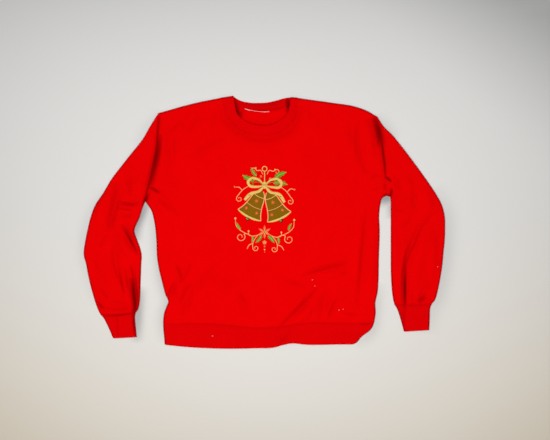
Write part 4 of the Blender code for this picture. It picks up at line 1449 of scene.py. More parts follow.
@dataclass
class RibBand:
    """A tube of doubled rib, ribbed on top, folded at its free edge and plain underneath."""

    name: str
    columns_per_rib: int = 4
    rows: int = 10
    fold_rows: int = 5
    edge_shade: float = RIM_SHADE  # painted shade where the free edge turns under

    def rib_columns(self, length: float) -> int:
        """Returns how many columns carry the ribs over a length."""
        return self.columns_per_rib * round(length / CLOTH.rib_pitch) + self.columns_per_rib // 2

    def ribs(self, columns: int) -> Array:
        """Returns how far the rib knit stands proud at each column."""
        turn = np.arange(columns + 1) * 2 * math.pi / self.columns_per_rib
        return -CLOTH.rib_rise / 2 * np.cos(turn)

    def fold(self, rows: list[Array], normals: list[Array], inner_ribs: Array | float = 0.0) -> Array:
        """Closes a band's outer rows round its free edge and back along its inner face.

        Args:
            rows: The outer points of each row from the seam to the free edge.
            normals: The normals there.
            inner_ribs: How far the inner face stands proud at each column.

        Returns:
            The grid round the band's cross-section, its first row repeated at the end.
        """
        half = CLOTH.rib / 2
        heading = rows[-1] - rows[-2]
        heading /= np.linalg.norm(heading, axis=1)[:, None]
        middle = rows[-1] - half * normals[-1]
        grid = list(rows)
        for turn in np.linspace(0, math.pi, self.fold_rows + 2)[1:-1]:
            grid.append(middle + half * (math.cos(turn) * normals[-1] + math.sin(turn) * heading))
        proud = np.reshape(inner_ribs, (-1, 1))
        for placed, normal in zip(rows[::-1], normals[::-1]):
            grid.append(placed - (CLOTH.rib + proud) * normal)
        grid.append(rows[0])
        return np.array(grid)

    def band(self, lines: Sequence[Array]) -> Piece:
        """Makes a band round a flattened tube.

        Args:
            lines: The lines across the tube, from the seam to the free edge.

        Returns:
            The object.
        """
        columns = self.rib_columns(max(arc(line)[-1] for line in lines))
        ribs = self.ribs(columns)
        middle = len(lines[0]) // 2
        rows = []
        normals = []
        for line in lines:
            steps = ribbed_steps(arc(line)[-1], columns)
            sewn = across_shape(np.linalg.norm(line[middle] - lines[0][middle]), SEWN_WIDTH)
            placed, normal = ring(line, steps, CLOTH.rib_lift * (1 - sewn) - SEAM_PINCH * sewn)
            proud = np.zeros(len(placed))
            proud[: len(steps)] = ribs * (1 - RIB_FLATTENING * sewn)
            proud[-1] = proud[0]
            rows.append(placed + proud[:, None] * normal)
            normals.append(normal)
        grid = self.fold(rows, normals)
        return cloth_object(self.name, grid, self.shades(grid, normals), tube=True)

    def shades(self, grid: Array, normals: list[Array]) -> Array:
        """Finds how much shade is painted into a band's points.

        Args:
            grid: The grid round the band's cross-section.
            normals: The normals of its outer rows.

        Returns:
            The painted shade of each point of the grid.
        """
        points = grid.reshape(-1, 3)
        upper = RELIEF.shade(points[:, :2], Side.UPPER).reshape(grid.shape[:2])
        lower = RELIEF.shade(points[:, :2], Side.LOWER).reshape(grid.shape[:2])
        lower[: len(normals)] = 0.0  # the lower layer's painted shade lies on its inner face alone
        dark = np.where(grid[..., 2] > CLOTH.edge_level + UPPER_CLEAR, upper, lower)
        dark[: len(normals)] = np.maximum(dark[: len(normals)], rim_shade(np.array(normals)))
        turn = np.sin(np.linspace(0, math.pi, self.fold_rows + 2))[1:-1, None]
        edge = slice(len(normals), len(normals) + self.fold_rows)
        dark[edge] = np.maximum(dark[edge], self.edge_shade * turn)
        return dark


@dataclass
class Cuff(RibBand):
    """The rib band round a wrist."""

    sections: Sequence[Section] = ()
    sleeve_end: Section | None = None
    rows_per_section: int = 4

    def build(self) -> Piece:
        """Makes the cuff from its sleeve's last section.

        Returns:
            The object.
        """
        end = self.sleeve_end
        gap = CLOTH.seam_gap
        sewn = Section(end.outer_x, end.outer_y - gap, end.inner_x, end.inner_y - gap)
        rows = sections_between((sewn, *self.sections), self.rows_per_section)[1]
        return self.band([across(row) for row in rows[:-2]])  # the last two are left to the folded edge


@dataclass
class HemBand(RibBand):
    """The rib band round the hem."""

    step: float = 2.0

    def build(self) -> Piece:
        """Makes the band from the hem seam to the free edge.

        Returns:
            The object.
        """
        seam = smooth(PATTERN.hem_seam) - [0, CLOTH.seam_gap]
        edge = smooth(PATTERN.hem_edge) + [0, CLOTH.rib / 2]
        left = smooth(PATTERN.hem_end_left)
        right = smooth(PATTERN.hem_end_right)
        even = np.linspace(0, 1, round(arc(seam)[-1] / self.step) + 1)
        rows = np.insert(np.linspace(1, 0, self.rows + 1), -1, SEAM_ROW / arc(left)[-1])
        grid = patch(
            along(edge, even * arc(edge)[-1]),
            along(seam, even * arc(seam)[-1]),
            along(left, rows * arc(left)[-1]),
            along(right, rows * arc(right)[-1]),
        )
        return self.band(grid[::-1])


@dataclass
class Collar(RibBand):
    """The rib neckband: a ring that turns over at both shoulders, so that its back shows its inside."""

    rows: int = 8
    width: float = 25.0
    # painted shade where its free edge turns under
    edge_shade: float = 0.12

    def build(self) -> Piece:
        """Makes the neckband.

        Returns:
            The object.
        """
        folds = [smooth(PATTERN.shoulder_left), smooth(PATTERN.shoulder_right)]
        halves = (
            (smooth(PATTERN.neckline_front), smooth(PATTERN.collar_edge_front), Side.UPPER),
            (smooth(PATTERN.neckline_back), smooth(PATTERN.collar_edge_back), Side.LOWER),
        )
        columns = [self.rib_columns((arc(seam)[-1] + arc(edge)[-1]) / 2) for seam, edge, _ in halves]
        front_ribs, back_ribs = self.ribs(columns[0]), self.ribs(columns[1])
        outer_ribs = np.concatenate([front_ribs, np.zeros(columns[1] - 1), front_ribs[:1]])
        inner_ribs = np.concatenate([np.zeros(columns[0] + 1), back_ribs[1:-1], [0.0]])
        rows = []
        normals = []
        for share_across in np.insert(np.linspace(0, 1, self.rows + 1), 1, SEAM_ROW / self.width):
            placed = []
            turned = []
            for (seam, edge, side), count in zip(halves, columns):
                line = along(seam, ribbed_steps(arc(seam)[-1], count))
                width = along(edge, ribbed_steps(arc(edge)[-1], count)) - line
                size = np.linalg.norm(width, axis=1)[:, None]
                start = CLOTH.seam_gap / size
                stop = 1 - CLOTH.rib / 2 / size
                points = line + width * (start + share_across * (stop - start))
                distance, outwards = to_edges(points, folds)
                sewn = across_shape(share_across * size[:, 0], SEWN_WIDTH)
                lift = CLOTH.rib_lift * (1 - sewn) - SEAM_PINCH * sewn
                points, normal = layer(points, distance, outwards, CLOTH.edge_level, side, lift)
                placed.append(points if side is Side.UPPER else points[-2:0:-1])
                turned.append(normal if side is Side.UPPER else normal[-2:0:-1])
            placed.append(placed[0][:1])
            turned.append(turned[0][:1])
            normal = np.vstack(turned)
            rows.append(np.vstack(placed) + outer_ribs[:, None] * normal)
            normals.append(normal)
        grid = self.fold(rows, normals, inner_ribs)
        return cloth_object(self.name, grid, self.shades(grid, normals), tube=True)


@dataclass
class NeckLabel:
    """A blank woven label, of which a sliver shows along the back neck seam. Its left end curls up."""

    name: str = "neck_label_shell"
    start: float = 71.0  # millimetres along the back neckline
    length: float = 62.0
    sliver: float = 0.3  # how much of it shows in the middle
    full_left: float = 0.75  # how much more of it shows near its left end
    full_right: float = 0.4
    gap: float = 0.1
    level: float = 3.0
    curl: float = 3.4
    tilt: tuple[float, float] = (0.3, 0.25)  # upwards, for each millimetre of curl and across the label
    bulges: tuple[float, float, float, float] = (0.1, 0.14, 0.82, 0.1)  # place and spread, left and right
    end: float = 0.04  # of its length, over which each end narrows
    end_width: float = 0.4  # of what would show
    thickness: float = 0.5
    columns: int = 48

    def build(self) -> Piece:
        """Makes the label with a slightly curled edge.

        Returns:
            The object.
        """
        seam = smooth(PATTERN.neckline_back)
        line = along(seam, np.linspace(self.start, self.start + self.length, self.columns + 1))
        place = np.linspace(0, 1, self.columns + 1)
        left, left_spread, right, right_spread = self.bulges
        wide = self.sliver + self.full_left * across_shape(place - left, left_spread)
        wide += self.full_right * across_shape(place - right, right_spread)
        wide *= np.clip(np.minimum(place, 1 - place) / self.end, self.end_width, 1)
        up = self.curl * (1 - place) ** 3
        rows = []
        for part in np.linspace(0, 1, 5):
            off = self.gap + (1 - part) * wide - up
            height = self.level + self.tilt[0] * up + self.tilt[1] * (1 - part)
            rows.append(np.column_stack([line[:, 0], line[:, 1] - off, height]))
        label = cloth_object(self.name, np.array(rows))
        face_up(label, True)
        thicken(label, self.thickness)
        return label


# Stitches


@dataclass(frozen=True)
class Run:
    """A run of stitches laid side by side along a line, as wide at each place as its widths say."""

    path: Array
    widths: tuple[float, ...]
    rise: float  # of the run's middle above the cloth
    base: float = 0.0


Runs = list[tuple[Thread, Run]]


class StitchWork:
    """Raised runs of stitches, joined into one mesh that lies on the front of the garment."""

    def __init__(self, name: str, columns: int = 6) -> None:
        """Starts an empty piece.

        Args:
            name: The object's name.
            columns: How many faces go across a run.
        """
        self.name = name
        self.columns = columns
        self.bm = bmesh.new()
        self.uv = self.bm.loops.layers.uv.new("cloth")

    def add(self, run: Run, step: float) -> None:
        """Lays one run flat, with its heights above the cloth as Z.

        Args:
            run: The run.
            step: The length of a face along it.
        """
        length = arc(run.path)[-1]
        rows = max(2, round(length / step))
        line = along(run.path, np.linspace(0, length, rows + 1))
        heading = np.gradient(line, axis=0)
        heading /= np.linalg.norm(heading, axis=1)[:, None] + 1e-9
        side = np.column_stack([-heading[:, 1], heading[:, 0]])
        half = np.interp(np.linspace(0, 1, rows + 1), np.linspace(0, 1, len(run.widths)), run.widths) / 2
        rim = np.minimum(STITCH_RIM / np.maximum(half, 0.01), STITCH_RIM_SHARE)
        made = bmesh.ops.create_grid(self.bm, x_segments=self.columns, y_segments=rows, size=0.5)
        for vert in made["verts"]:
            row = round((vert.co.y + 0.5) * rows)
            column = round((vert.co.x + 0.5) * self.columns)
            flat = (column - self.columns / 2) / (self.columns / 2 - 1) * (1 - rim[row])
            off = max(-1.0, min(1.0, flat)) if 0 < column < self.columns else math.copysign(1.0, flat)
            x, y = line[row] - off * half[row] * side[row]
            dome = run.rise * (1 - STITCH_DOME * off**2)
            vert.co = (x, y, run.base + (dome if 0 < column < self.columns else -STITCH_SINK))
            for loop in vert.link_loops:
                loop[self.uv].uv = (off * half[row] * MM, row * length / rows * MM)

    def build(self, wall: float) -> Piece:
        """Sets the runs on the cloth.

        Args:
            wall: The thickness of a run.

        Returns:
            The object.
        """
        flat = np.array([vert.co for vert in self.bm.verts])
        level = RELIEF.height(flat[:, :2])
        for vert, (x, y, dome), top in zip(self.bm.verts, flat, level):
            vert.co = ((x - CENTRE[0]) * MM, (y - CENTRE[1]) * MM, (top + dome) * MM)
        made = mesh_object(self.name, self.bm)
        face_up(made, True)
        thicken(made, wall)
        return made


def satin(
    points: Sequence, widths: tuple[float, ...], rise: float, base: float = 0.0, step: float = 1.0
) -> Run:
    """Returns a run of satin stitch along a smooth line through points."""
    return Run(smooth(points, step), widths, rise, base)


def curl(x: float, y: float, radius: float, start: float, turns: float) -> list[Point]:
    """Winds a line into a spiral.

    Args:
        x: The spiral's middle.
        y: The spiral's middle.
        radius: The outer radius.
        start: The direction of its outer end, in degrees.
        turns: How many turns it makes, anticlockwise above 0.

    Returns:
        The points from the outer end inwards.
    """
    points = []
    for part in np.linspace(0, 1, CURL_POINTS):
        angle = math.radians(start + 360 * turns * part)
        size = radius * (1 - CURL_TIGHTENING * part)
        points.append((x + size * math.cos(angle), y + size * math.sin(angle)))
    return points


@dataclass
class Bell:
    """An embroidered bell that hangs from its crown at an angle."""

    crown: Point
    lean: float  # degrees from straight down, towards +X
    length: float = 68.0
    flare: tuple[float, ...] = (9, 22, 29, 33, 36, 39, 43, 48, 55, 64)
    lip: float = 6.0

    def place(self, down: float, over: float) -> Point:
        """Finds a point of the bell.

        Args:
            down: How far it lies down the bell's axis.
            over: How far it lies to the right of it.

        Returns:
            The point.
        """
        turn = math.radians(self.lean)
        x = self.crown[0] + down * math.sin(turn) + over * math.cos(turn)
        y = self.crown[1] - down * math.cos(turn) + over * math.sin(turn)
        return x, y

    def outline(self, hand: int) -> list[Point]:
        """Returns one side of the bell from the crown to the mouth."""
        count = len(self.flare) - 1
        return [self.place(k / count * self.length, hand * w / 2) for k, w in enumerate(self.flare)]

    def mouth(self, sag: float) -> list[Point]:
        """Returns a line across the mouth that bows down by the sag in its middle."""
        half = self.flare[-1] / 2
        return [self.place(self.length + sag * (1 - t**2), t * half) for t in np.linspace(-1, 1, 9)]

    def crystal(self, down: float, over: float, radius: float) -> list[Run]:
        """Draws a small six-armed snow crystal on the bell.

        Args:
            down: How far it lies down the bell's axis.
            over: How far it lies to the right of it.
            radius: The length of an arm.

        Returns:
            Its runs.
        """
        middle = self.place(down, over)
        runs = []
        for angle in (15, 75, 135):
            dx = radius * math.cos(math.radians(angle + self.lean))
            dy = radius * math.sin(math.radians(angle + self.lean))
            ends = [(middle[0] - dx, middle[1] - dy), middle, (middle[0] + dx, middle[1] + dy)]
            runs.append(satin(ends, (0.8, 2.2, 1.4, 2.2, 0.8), 0.5, 0.5))
        return runs

    def runs(self) -> Runs:
        """Returns the bell's stitches, from the fill to what lies on it.

        Returns:
            Each run with its thread.
        """
        ends = [self.place(down, 0) for down in (0, self.length / 2, self.length)]
        clapper = [self.place(self.length + down, 0) for down in (2, 8, 16)]
        knob = curl(*self.place(self.length + 10, 0), 3.2, 90, 1.0)
        low = [self.place(0.62 * self.length + 3 * (1 - t**2), t * 21) for t in (-1, -0.5, 0, 0.5, 1)]
        high = [self.place(0.22 * self.length + 2 * (1 - t**2), t * 14) for t in (-1, 0, 1)]
        made = [
            (Thread.BROWN, satin(ends, self.flare, 0.45)),
            (Thread.DARK, satin(clapper, (1.5, 9, 12, 9, 1.5), 0.9)),
            (Thread.GOLD, satin(knob, (1.6,), 0.4, 0.9)),
            (Thread.BROWN, satin(self.mouth(2.5), (2, 6, 7, 6, 2), 0.45, 0.02)),
            (Thread.GOLD, satin(self.mouth(5.0), (3, self.lip, self.lip, self.lip, 3), 0.9, 0.1)),
            *((Thread.PEACH, satin(self.outline(hand), (2.9,), 0.8, 0.1)) for hand in (-1, 1)),
            (Thread.PEACH, satin(low, (1.6,), 0.5, 0.4)),
            (Thread.GOLD, satin(high, (2.2,), 0.5, 0.4)),
        ]
        for down, over, radius in ((0.42, 0, 5.5), (0.82, -15, 4.5), (0.82, 14, 4.5)):
            made.extend((Thread.CORAL, run) for run in self.crystal(down * self.length, over, radius))
        return made


@dataclass
class Embroidery:
    """Two bells on a bow with holly and scrolls, in satin stitch on the chest."""

    middle: Point = (-1.0, 33.5)
    step: float = 1.6
    wall: float = 0.7
    leaf_width: float = 0.46  # of a leaf's length
    leaf_bow: float = 0.08
    holly: tuple[tuple[float, float, float, float, Thread], ...] = (  # x, y, direction, length, thread
        (-24, 74, 158, 34, Thread.GREEN),
        (-20, 84, 122, 26, Thread.OLIVE),
        (26, 78, 28, 33, Thread.GREEN),
        (22, 66, -6, 36, Thread.OLIVE),
        (-60, -50, 118, 20, Thread.GREEN),
        (60, -52, 66, 20, Thread.OLIVE),
        (-8, -64, 232, 24, Thread.OLIVE),
        (8, -66, -48, 24, Thread.GREEN),
        (-30, -66, 262, 17, Thread.GREEN),
        (33, -69, -82, 17, Thread.GREEN),
    )
    berries: tuple[tuple[float, float, float, Thread], ...] = (  # x, y, radius, thread
        (-14, 76, 3.6, Thread.CORAL),
        (-9, 83, 3.2, Thread.CORAL),
        (14, 77, 3.6, Thread.CORAL),
        (9, 70, 2.8, Thread.DARK),
        (-40, -54, 2.6, Thread.GOLD),
        (42, -57, 2.6, Thread.GOLD),
        (-73, -22, 3.0, Thread.GOLD),
        (74, -26, 3.0, Thread.GOLD),
        (0, -92, 2.8, Thread.CORAL),
        (0, -100, 2.2, Thread.GOLD),
        (0, -106, 1.7, Thread.CORAL),
        (-75, 57, 2.6, Thread.CORAL),
        (75, 50, 2.6, Thread.CORAL),
        (-22, 104, 2.2, Thread.GOLD),
        (26, 100, 2.2, Thread.GOLD),
    )

    def scrolls(self) -> list[list[Point]]:
        """Returns the points of each scroll."""
        return [
            [(-6, -56), (-18, -64), (-32, -66), (-46, -60), *curl(-60, -68, 12, 40, -1.2)],
            [(6, -56), (18, -66), (32, -69), (46, -64), *curl(61, -74, 12, 140, 1.2)],
            [(-16, -63), (-26, -76), (-30, -88), *curl(-22, -96, 8, 160, 1.2)],
            [(17, -65), (28, -78), (32, -92), *curl(24, -99, 8, 20, -1.2)],
            [(-46, -60), (-60, -52), (-71, -40), (-73, -26)],
            [(46, -64), (61, -56), (72, -44), (74, -30)],
            [(-34, -66), (-40, -62), (-40, -56)],
            [(36, -69), (42, -65), (42, -59)],
            [(-38, 60), (-54, 50), (-66, 36), *curl(-63, 27, 8, 130, 1.1)],
            [(38, 58), (54, 46), (66, 30), *curl(64, 20, 8, 50, -1.1)],
            [(-4, 88), (-10, 98), (-20, 98), *curl(-28, 98, 7, 20, 1.0)],
            [(6, 88), (12, 98), (22, 96), *curl(31, 94, 7, 150, -1.0)],
            [(-56, 48), (-64, 56), (-72, 56)],
            [(56, 44), (66, 52), (74, 50)],
            [(-28, -84), (-38, -88), (-44, -98)],
            [(31, -88), (42, -92), (48, -102)],
        ]

    def bow(self) -> Runs:
        """Returns the bow's loops, tails and knot.

        Returns:
            Each run with its thread.
        """
        tails = (
            [(-2, 58), (-14, 46), (-34, 40), (-50, 24)],
            [(2, 58), (14, 44), (36, 38), (50, 18)],
        )
        made = [(Thread.GOLD, satin(points, (4, 8, 7, 8, 9, 7), 0.8, 0.5)) for points in tails]
        loops = (
            [(-2, 62), (-14, 74), (-32, 78), (-41, 70), (-37, 60), (-20, 57), (-2, 60)],
            [(2, 62), (14, 73), (32, 76), (42, 67), (38, 57), (20, 56), (2, 60)],
        )
        for points in loops:
            made.append((Thread.GOLD, satin(points, (3, 6, 7.5, 8, 7.5, 6, 3), 0.9, 0.6)))
            inner = [(0.72 * x, 62 + 0.5 * (y - 64)) for x, y in points]
            made.append((Thread.OLIVE, satin(inner, (1.6,), 0.5, 0.4)))
        made.append((Thread.GOLD, satin([(0, 70), (0, 61), (0, 52)], (5, 13, 14, 13, 5), 1.1, 1.0)))
        made.append((Thread.DARK, satin([(-5, 61), (0, 62), (5, 61)], (1.4,), 0.4, 1.9)))
        for x, y in ((-30, 75), (-36, 64), (-18, 71), (30, 73), (37, 62), (17, 70), (-38, 36), (40, 32)):
            nick = [(x - 2, y), (x, y + 0.5), (x + 2, y)]
            made.append((Thread.DARK, satin(nick, (1.0, 2.0, 1.0), 0.4, 1.3)))
        turns = np.linspace(-math.pi / 2, 1.5 * math.pi, 16)
        loop = [(6 * math.cos(turn), 102 + 6 * math.sin(turn)) for turn in turns]
        made.append((Thread.GOLD, satin(loop, (2.4,), 0.7, 0.2)))
        made.append((Thread.GOLD, satin([(0, 97), (0, 84), (0, 70)], (2.6,), 0.7, 0.2)))
        return made

    def flower(self, x: float, y: float, petals: int, size: float) -> Runs:
        """Returns a pointed-petalled winter flower.

        Args:
            x: Its middle.
            y: Its middle.
            petals: How many petals it has.
            size: The length of a petal.

        Returns:
            Each run with its thread.
        """
        made = []
        for turn in np.linspace(0, 2 * math.pi, petals, endpoint=False) + math.pi / 2:
            spine = []
            for part in (0.1, 0.55, 1):
                spine.append((x + part * size * math.cos(turn), y + part * size * math.sin(turn)))
            petal = satin(spine, (1.5, 4.5, 6.5, 6, 3.5, 0.5), 0.8, 0.3)
            vein = satin(spine[:2], (1.2, 0.8), 0.3, 1.0)
            made += [(Thread.CORAL, petal), (Thread.PEACH, vein)]
        for turn in np.linspace(0, 2 * math.pi, 5, endpoint=False):
            dx, dy = 2.6 * math.cos(turn), 2.6 * math.sin(turn)
            points = [(x + dx, y + dy + 1.5), (x + dx, y + dy), (x + dx, y + dy - 1.5)]
            made.append((Thread.GOLD, satin(points, (1.0, 2.8, 3.2, 2.8, 1.0), 0.7, 1.1, 0.6)))
        return made

    def leaf(self, x: float, y: float, turn: float, length: float, thread: Thread) -> Runs:
        """Returns a holly leaf with its vein.

        Args:
            x: Where it starts.
            y: Where it starts.
            turn: Its direction in degrees.
            length: Its length.
            thread: Its thread.

        Returns:
            Each run with its thread.
        """
        heading = np.array([math.cos(math.radians(turn)), math.sin(math.radians(turn))])
        side = np.array([-heading[1], heading[0]])
        start = np.array([x, y])
        spine = []
        for t in np.linspace(0, 1, 5):
            bow = self.leaf_bow * length * math.sin(math.pi * t)
            spine.append(tuple(start + length * t * heading + bow * side))
        width = self.leaf_width * length
        prickles = (0.05, 0.55, 0.98, 0.62, 0.72, 1.0, 0.58, 0.66, 0.8, 0.4, 0.3, 0.04)
        blade = satin(spine, tuple(width * w for w in prickles), 0.7, 0.1)
        vein = satin(spine, (1.2, 1.2, 0.8), 0.3, 0.75)
        return [(thread, blade), (Thread.GOLD, vein)]

    def runs(self) -> Runs:
        """Returns every run of the design around its middle.

        Returns:
            Each run with its thread.
        """
        widths = (1.6, 2.3, 2.3, 2.2, 2.0, 1.6)
        made = [(Thread.PEACH, satin(line, widths, 0.6, 0.05)) for line in self.scrolls()]
        made += Bell((-7, 47), -27).runs()
        made += Bell((9, 44), 24).runs()
        for leaf in self.holly:
            made += self.leaf(*leaf)
        made += self.flower(0, -56, 6, 17)
        made += self.flower(0, -82, 5, 6)
        made += self.bow()
        for x, y, radius, thread in self.berries:
            widths = tuple(2 * radius * w for w in (0.3, 0.85, 1, 0.85, 0.3))
            points = [(x, y + radius), (x, y), (x, y - radius)]
            made.append((thread, satin(points, widths, 1.0, 0.2, 0.6)))
        return made

    def build(self) -> list[tuple[Piece, Thread]]:
        """Makes one piece for each thread.

        Returns:
            The pieces, without their finishes, each with its thread.
        """
        works = {thread: StitchWork("embroidery_" + thread.name.lower()) for thread in Thread}
        for thread, run in self.runs():
            placed = Run(run.path + np.array(self.middle), run.widths, run.rise, run.base)
            works[thread].add(placed, self.step)
        return [(work.build(self.wall), thread) for thread, work in works.items()]


@dataclass
class Sewing:
    """The twin rows of stitches beside the seams of the front."""

    stitch: float = 2.6
    gap: float = 1.2
    offsets: tuple[float, ...] = (2.2, 5.0)
    thickness: float = 0.7
    rise: float = 0.22
    wall: float = 0.4
    margin: float = 10.0  # kept clear of the rolled edges

    def row(self, work: StitchWork, line: Array) -> None:
        """Sews a row of stitches.

        Args:
            work: The piece that they belong to.
            line: The line that they follow.
        """
        length = arc(line)[-1]
        count = int((length - 2 * self.margin) / (self.stitch + self.gap))
        starts = self.margin + np.arange(count) * (self.stitch + self.gap)
        for start in starts:
            piece = along(line, np.linspace(start, start + self.stitch, 3))
            work.add(Run(piece, (0.4, self.thickness, 0.4), self.rise, 0.02), self.stitch / 2)

    @staticmethod
    def beside(line: Array, distance: float) -> Array:
        """Moves a line to its left.

        Args:
            line: The line.
            distance: How far it moves.

        Returns:
            The points of the new line.
        """
        heading = np.gradient(line, axis=0)
        heading /= np.linalg.norm(heading, axis=1)[:, None]
        return line + distance * np.column_stack([-heading[:, 1], heading[:, 0]])

    def build(self) -> Piece:
        """Makes all the stitches as one piece.

        Returns:
            The object.
        """
        work = StitchWork("seam_stitches", 4)
        seams = (
            (PATTERN.hem_seam, 1),
            (PATTERN.neckline_front, -1),
            (PATTERN.armhole_left, -1),
            (PATTERN.armhole_right, 1),
        )
        for points, hand in seams:
            for offset in self.offsets:
                self.row(work, self.beside(smooth(points), hand * offset))
        return work.build(self.wall)


@dataclass
class Lint:
    """A few specks of lint that lie on the cloth."""

    specks: tuple[tuple[float, float, float, float], ...] = (  # x, y, direction in degrees, lift
        (432, -110, 70, 0.2),
        (119, -143, 50, 0.2),
        (185, -218, 20, 0.2),
        (-131, -282, 130, 1.6),
        (125, -157, 160, 0.2),
        (196, -216, 100, 0.2),
    )
    length: float = 2.4
    wall: float = 0.3

    def build(self) -> Piece:
        """Makes all the specks as one piece.

        Returns:
            The object.
        """
        work = StitchWork("lint", 4)
        for x, y, turn, lift in self.specks:
            path = curl(x, y, self.length / 2, turn, 0.6)
            work.add(satin(path, (0.2, 0.6, 0.8, 0.6, 0.2), 0.5, lift, 0.6), 0.8)
        return work.build(self.wall)


# The room


@dataclass(frozen=True)
class EdgeShade:
    """Soft shade painted into the floor's colour along an edge of the cloth that stands a little clear of
    it.
    """

    points: Points
    depth: float  # from 0 to 1, at the middle of the line
    spread: float


EDGE_SHADES = table(
    EdgeShade,
    # left shoulder, sleeve and cuff
    (((-262, 282), (-300, 232), (-327, 192)), 0.12, 16.0),
    (((-395, 90), (-437, 20), (-452, -75), (-437, -142), (-420, -205)), 0.17, 18.0),
    (((-290, 68), (-300, 45), (-312, 20), (-324, -12), (-326, -48)), 0.8, 15.0),
    (((-312, -160), (-318, -215), (-321, -260), (-322, -300)), 0.62, 14.0),
    # left side
    (
        (
            (-292, 60), (-275, 0), (-265, -75), (-255, -142), (-242, -197), (-252, -237), (-250, -300),
        ),
        0.36, 19.0,
    ),
    # right shoulder, sleeve and cuff
    (((277, 270), (305, 237), (330, 207)), 0.2, 17.0),
    (((420, 90), (452, 20), (452, -42), (445, -110), (430, -187), (415, -222), (412, -280)), 0.28, 26.0),
    (((270, 62), (302, 62), (334, 62)), 0.85, 17.0),
    (((306, 64), (315, 44), (318, 8)), 0.45, 12.0),
    # right side
    (((285, -150), (277, -222), (267, -272), (225, -305)), 0.25, 17.0),
)


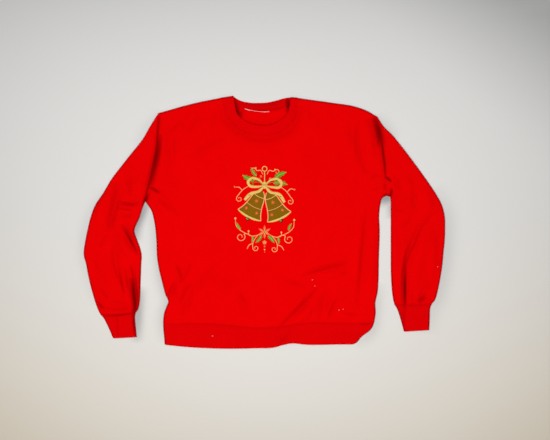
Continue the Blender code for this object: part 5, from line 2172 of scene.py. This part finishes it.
@dataclass
class Studio:
    """A pale floor with painted shade and painted warm light, soft light and a camera straight above."""

    view_centre: Point = (0.0265, 0.0051)
    view_width: float = 1.375
    aspect: float = 1.25
    lens: float = 50.0
    sensor: float = 36.0
    garment_level: float = 0.007
    floor_size: float = 6.0
    floor_squares: int = 150
    clearance: float = 0.0002  # of the floor below the garment
    beside: Point = (0.53, 0.39)  # half the floor that is cut finer, round the garment
    cuts: int = 7
    reach: float = 1.04  # of half the view, past which the floor's tone stays the same
    # The floor's painted shade grows towards the view's ends and its far right corner; its painted warm
    # light grows towards the near end and the sides.
    most_dark: float = 0.6
    most_warm: float = 0.4
    corner_dark: float = 0.38  # in the far right corner
    corner_start: float = 1.25  # where it begins, as the sum of both shares of half the view
    corner_run: float = 0.635
    corner_most: float = 1.1  # of its depth, at its end
    corner_power: float = 1.35
    corner_fade: float = 1.4  # outside the view
    far_dark: float = 0.19
    near_dark: float = 0.12
    side_dark: float = 0.05
    warmth: float = 0.2
    warm_start: float = 0.3  # at the sides, below this share of half the view's height
    warm_run: float = 1.2

    def floor(self) -> None:
        """Lays the floor, with a little shade painted into its colour away from the light and beside the
        cloth, and painted warm light towards the near end.
        """
        bm = bmesh.new()
        bmesh.ops.create_grid(
            bm, x_segments=self.floor_squares, y_segments=self.floor_squares, size=self.floor_size / 2
        )
        wide, high = self.beside
        inner = {vert for vert in bm.verts if abs(vert.co.x) < wide and abs(vert.co.y) < high}
        fine = [edge for edge in bm.edges if inner.issuperset(edge.verts)]
        bmesh.ops.subdivide_edges(bm, edges=fine, cuts=self.cuts, use_grid_fill=True)
        bmesh.ops.translate(bm, vec=Vector((0, 0, -self.clearance)), verts=bm.verts[:])
        shades = self.edge_shades(np.array([vert.co[:2] for vert in bm.verts]) / MM + CENTRE)
        dark = bm.verts.layers.float.new("dark")
        warm = bm.verts.layers.float.new("warm")
        for vert, shade in zip(bm.verts, shades):
            right = 2 * (vert.co.x - self.view_centre[0]) / self.view_width
            up = 2 * self.aspect * (vert.co.y - self.view_centre[1]) / self.view_width
            u, v = max(-self.reach, min(self.reach, right)), max(-self.reach, min(self.reach, up))
            part = max(0.0, min(self.corner_most, (u + v - self.corner_start) / self.corner_run))
            fade = max(0.0, 1 - self.corner_fade * max(0.0, right - self.reach, up - self.reach))
            end = (self.far_dark if v > 0 else self.near_dark) * v**4
            corner = self.corner_dark * part**self.corner_power * fade
            tone = corner + end + self.side_dark * u**4
            vert[dark] = min(self.most_dark, tone) + shade
            sides = u * u * max(0.0, min(1.0, (self.warm_start - v) / self.warm_run))
            vert[warm] = min(self.most_warm, self.warmth * (max(0.0, -v) ** 2 + sides))
        floor = mesh_object("floor", bm)
        floor.data.materials.append(FLOOR.material())

    def edge_shades(self, points: Array) -> Array:
        """Finds how much shade is painted on the floor beside the cloth.

        Args:
            points: Points on the floor, in the tables' millimetres.

        Returns:
            The shade of each.
        """
        shade = np.zeros(len(points))
        for edge in EDGE_SHADES:
            line = smooth(edge.points, TABLE_STEP)
            near = near_box(points, line, 3 * edge.spread)
            off, place = to_line(points[near], line)
            fade = np.sqrt(np.sin(math.pi * np.clip(place, 0, 1)).clip(0))
            shade[near] = np.maximum(shade[near], edge.depth * fade * across_shape(off, edge.spread))
        return shade

    def camera(self) -> None:
        """Sets the camera straight above the garment."""
        data = bpy.data.cameras.new("camera")
        data.lens = self.lens
        data.sensor_width = self.sensor
        camera = bpy.data.objects.new("camera", data)
        bpy.context.scene.collection.objects.link(camera)
        height = self.view_width * self.lens / self.sensor + self.garment_level
        camera.location = (*self.view_centre, height)
        bpy.context.scene.camera = camera

    @staticmethod
    def lamp(
        name: str, place: tuple[float, float, float], size: float, watts: float, colour: str
    ) -> None:
        """Adds a square soft lamp that faces the garment.

        Args:
            name: The lamp's name.
            place: Where it stands, in metres.
            size: Its width in metres.
            watts: Its power.
            colour: Its colour.
        """
        data = bpy.data.lights.new(name, "AREA")
        data.shape = "SQUARE"
        data.size = size
        data.energy = watts
        data.color = linear(colour)[:3]
        lamp = bpy.data.objects.new(name, data)
        lamp.location = place
        lamp.rotation_euler = Vector(place).to_track_quat("Z", "Y").to_euler()
        bpy.context.scene.collection.objects.link(lamp)

    def light(self) -> None:
        """Sets the soft key nearly overhead and an even fill all round."""
        self.lamp("key", (-0.06, -0.04, 2.00), 1.3, 49, "#ffffff")
        self.lamp("fill", (0.1, -1.7, 1.5), 1.0, 6, "#fff0e0")
        world = bpy.data.worlds.new("soft room")
        world.use_nodes = True
        background = world.node_tree.nodes["Background"]
        background.inputs["Color"].default_value = linear("#f4f6f8")
        background.inputs["Strength"].default_value = 0.10
        bpy.context.scene.world = world
        bpy.context.scene.view_settings.view_transform = "Standard"

    def build(self) -> None:
        """Sets up the whole room."""
        self.floor()
        self.camera()
        self.light()


# Assembly


def main() -> None:
    """Builds every piece in order."""
    logging.basicConfig(level=logging.INFO, format="%(name)s %(message)s")
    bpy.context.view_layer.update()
    Studio().build()
    finishes = {"fleece": FLEECE.material(), "rib": RIB.material(), "label": LABEL.material()}
    makers = (
        ("fleece", BodyPanel("back_shell", PATTERN.neckline_back, Side.LOWER, (28, 34), 40, 60, 48)),
        ("fleece", BodyPanel("front_shell", PATTERN.neckline_front, Side.UPPER, (56, 68), 78, 104, 80)),
        ("fleece", Sleeve("sleeve_left_shell", SLEEVE_LEFT, PATTERN.armhole_left, -1)),
        ("fleece", Sleeve("sleeve_right_shell", SLEEVE_RIGHT, PATTERN.armhole_right, 1)),
        ("rib", Cuff("cuff_left_shell", sections=CUFF_LEFT, sleeve_end=SLEEVE_LEFT[-1])),
        ("rib", Cuff("cuff_right_shell", sections=CUFF_RIGHT, sleeve_end=SLEEVE_RIGHT[-1])),
        ("rib", HemBand("hem_band_shell")),
        ("rib", Collar("collar_shell")),
        ("label", NeckLabel()),
    )
    for slot, maker in makers:
        shell = maker.build()
        dress(shell, shell.name.removesuffix("_shell"), slot, finishes[slot])
    for piece, thread in Embroidery().build():
        slot, finish = thread.value
        dress(piece, "", slot, finish.material())
    stitches = Sewing().build()
    dress(stitches, "", "fleece", SEWING.material())
    lint = Lint().build()
    dress(lint, "", "label", LINT.material())


if __name__ == "__main__":
    main()
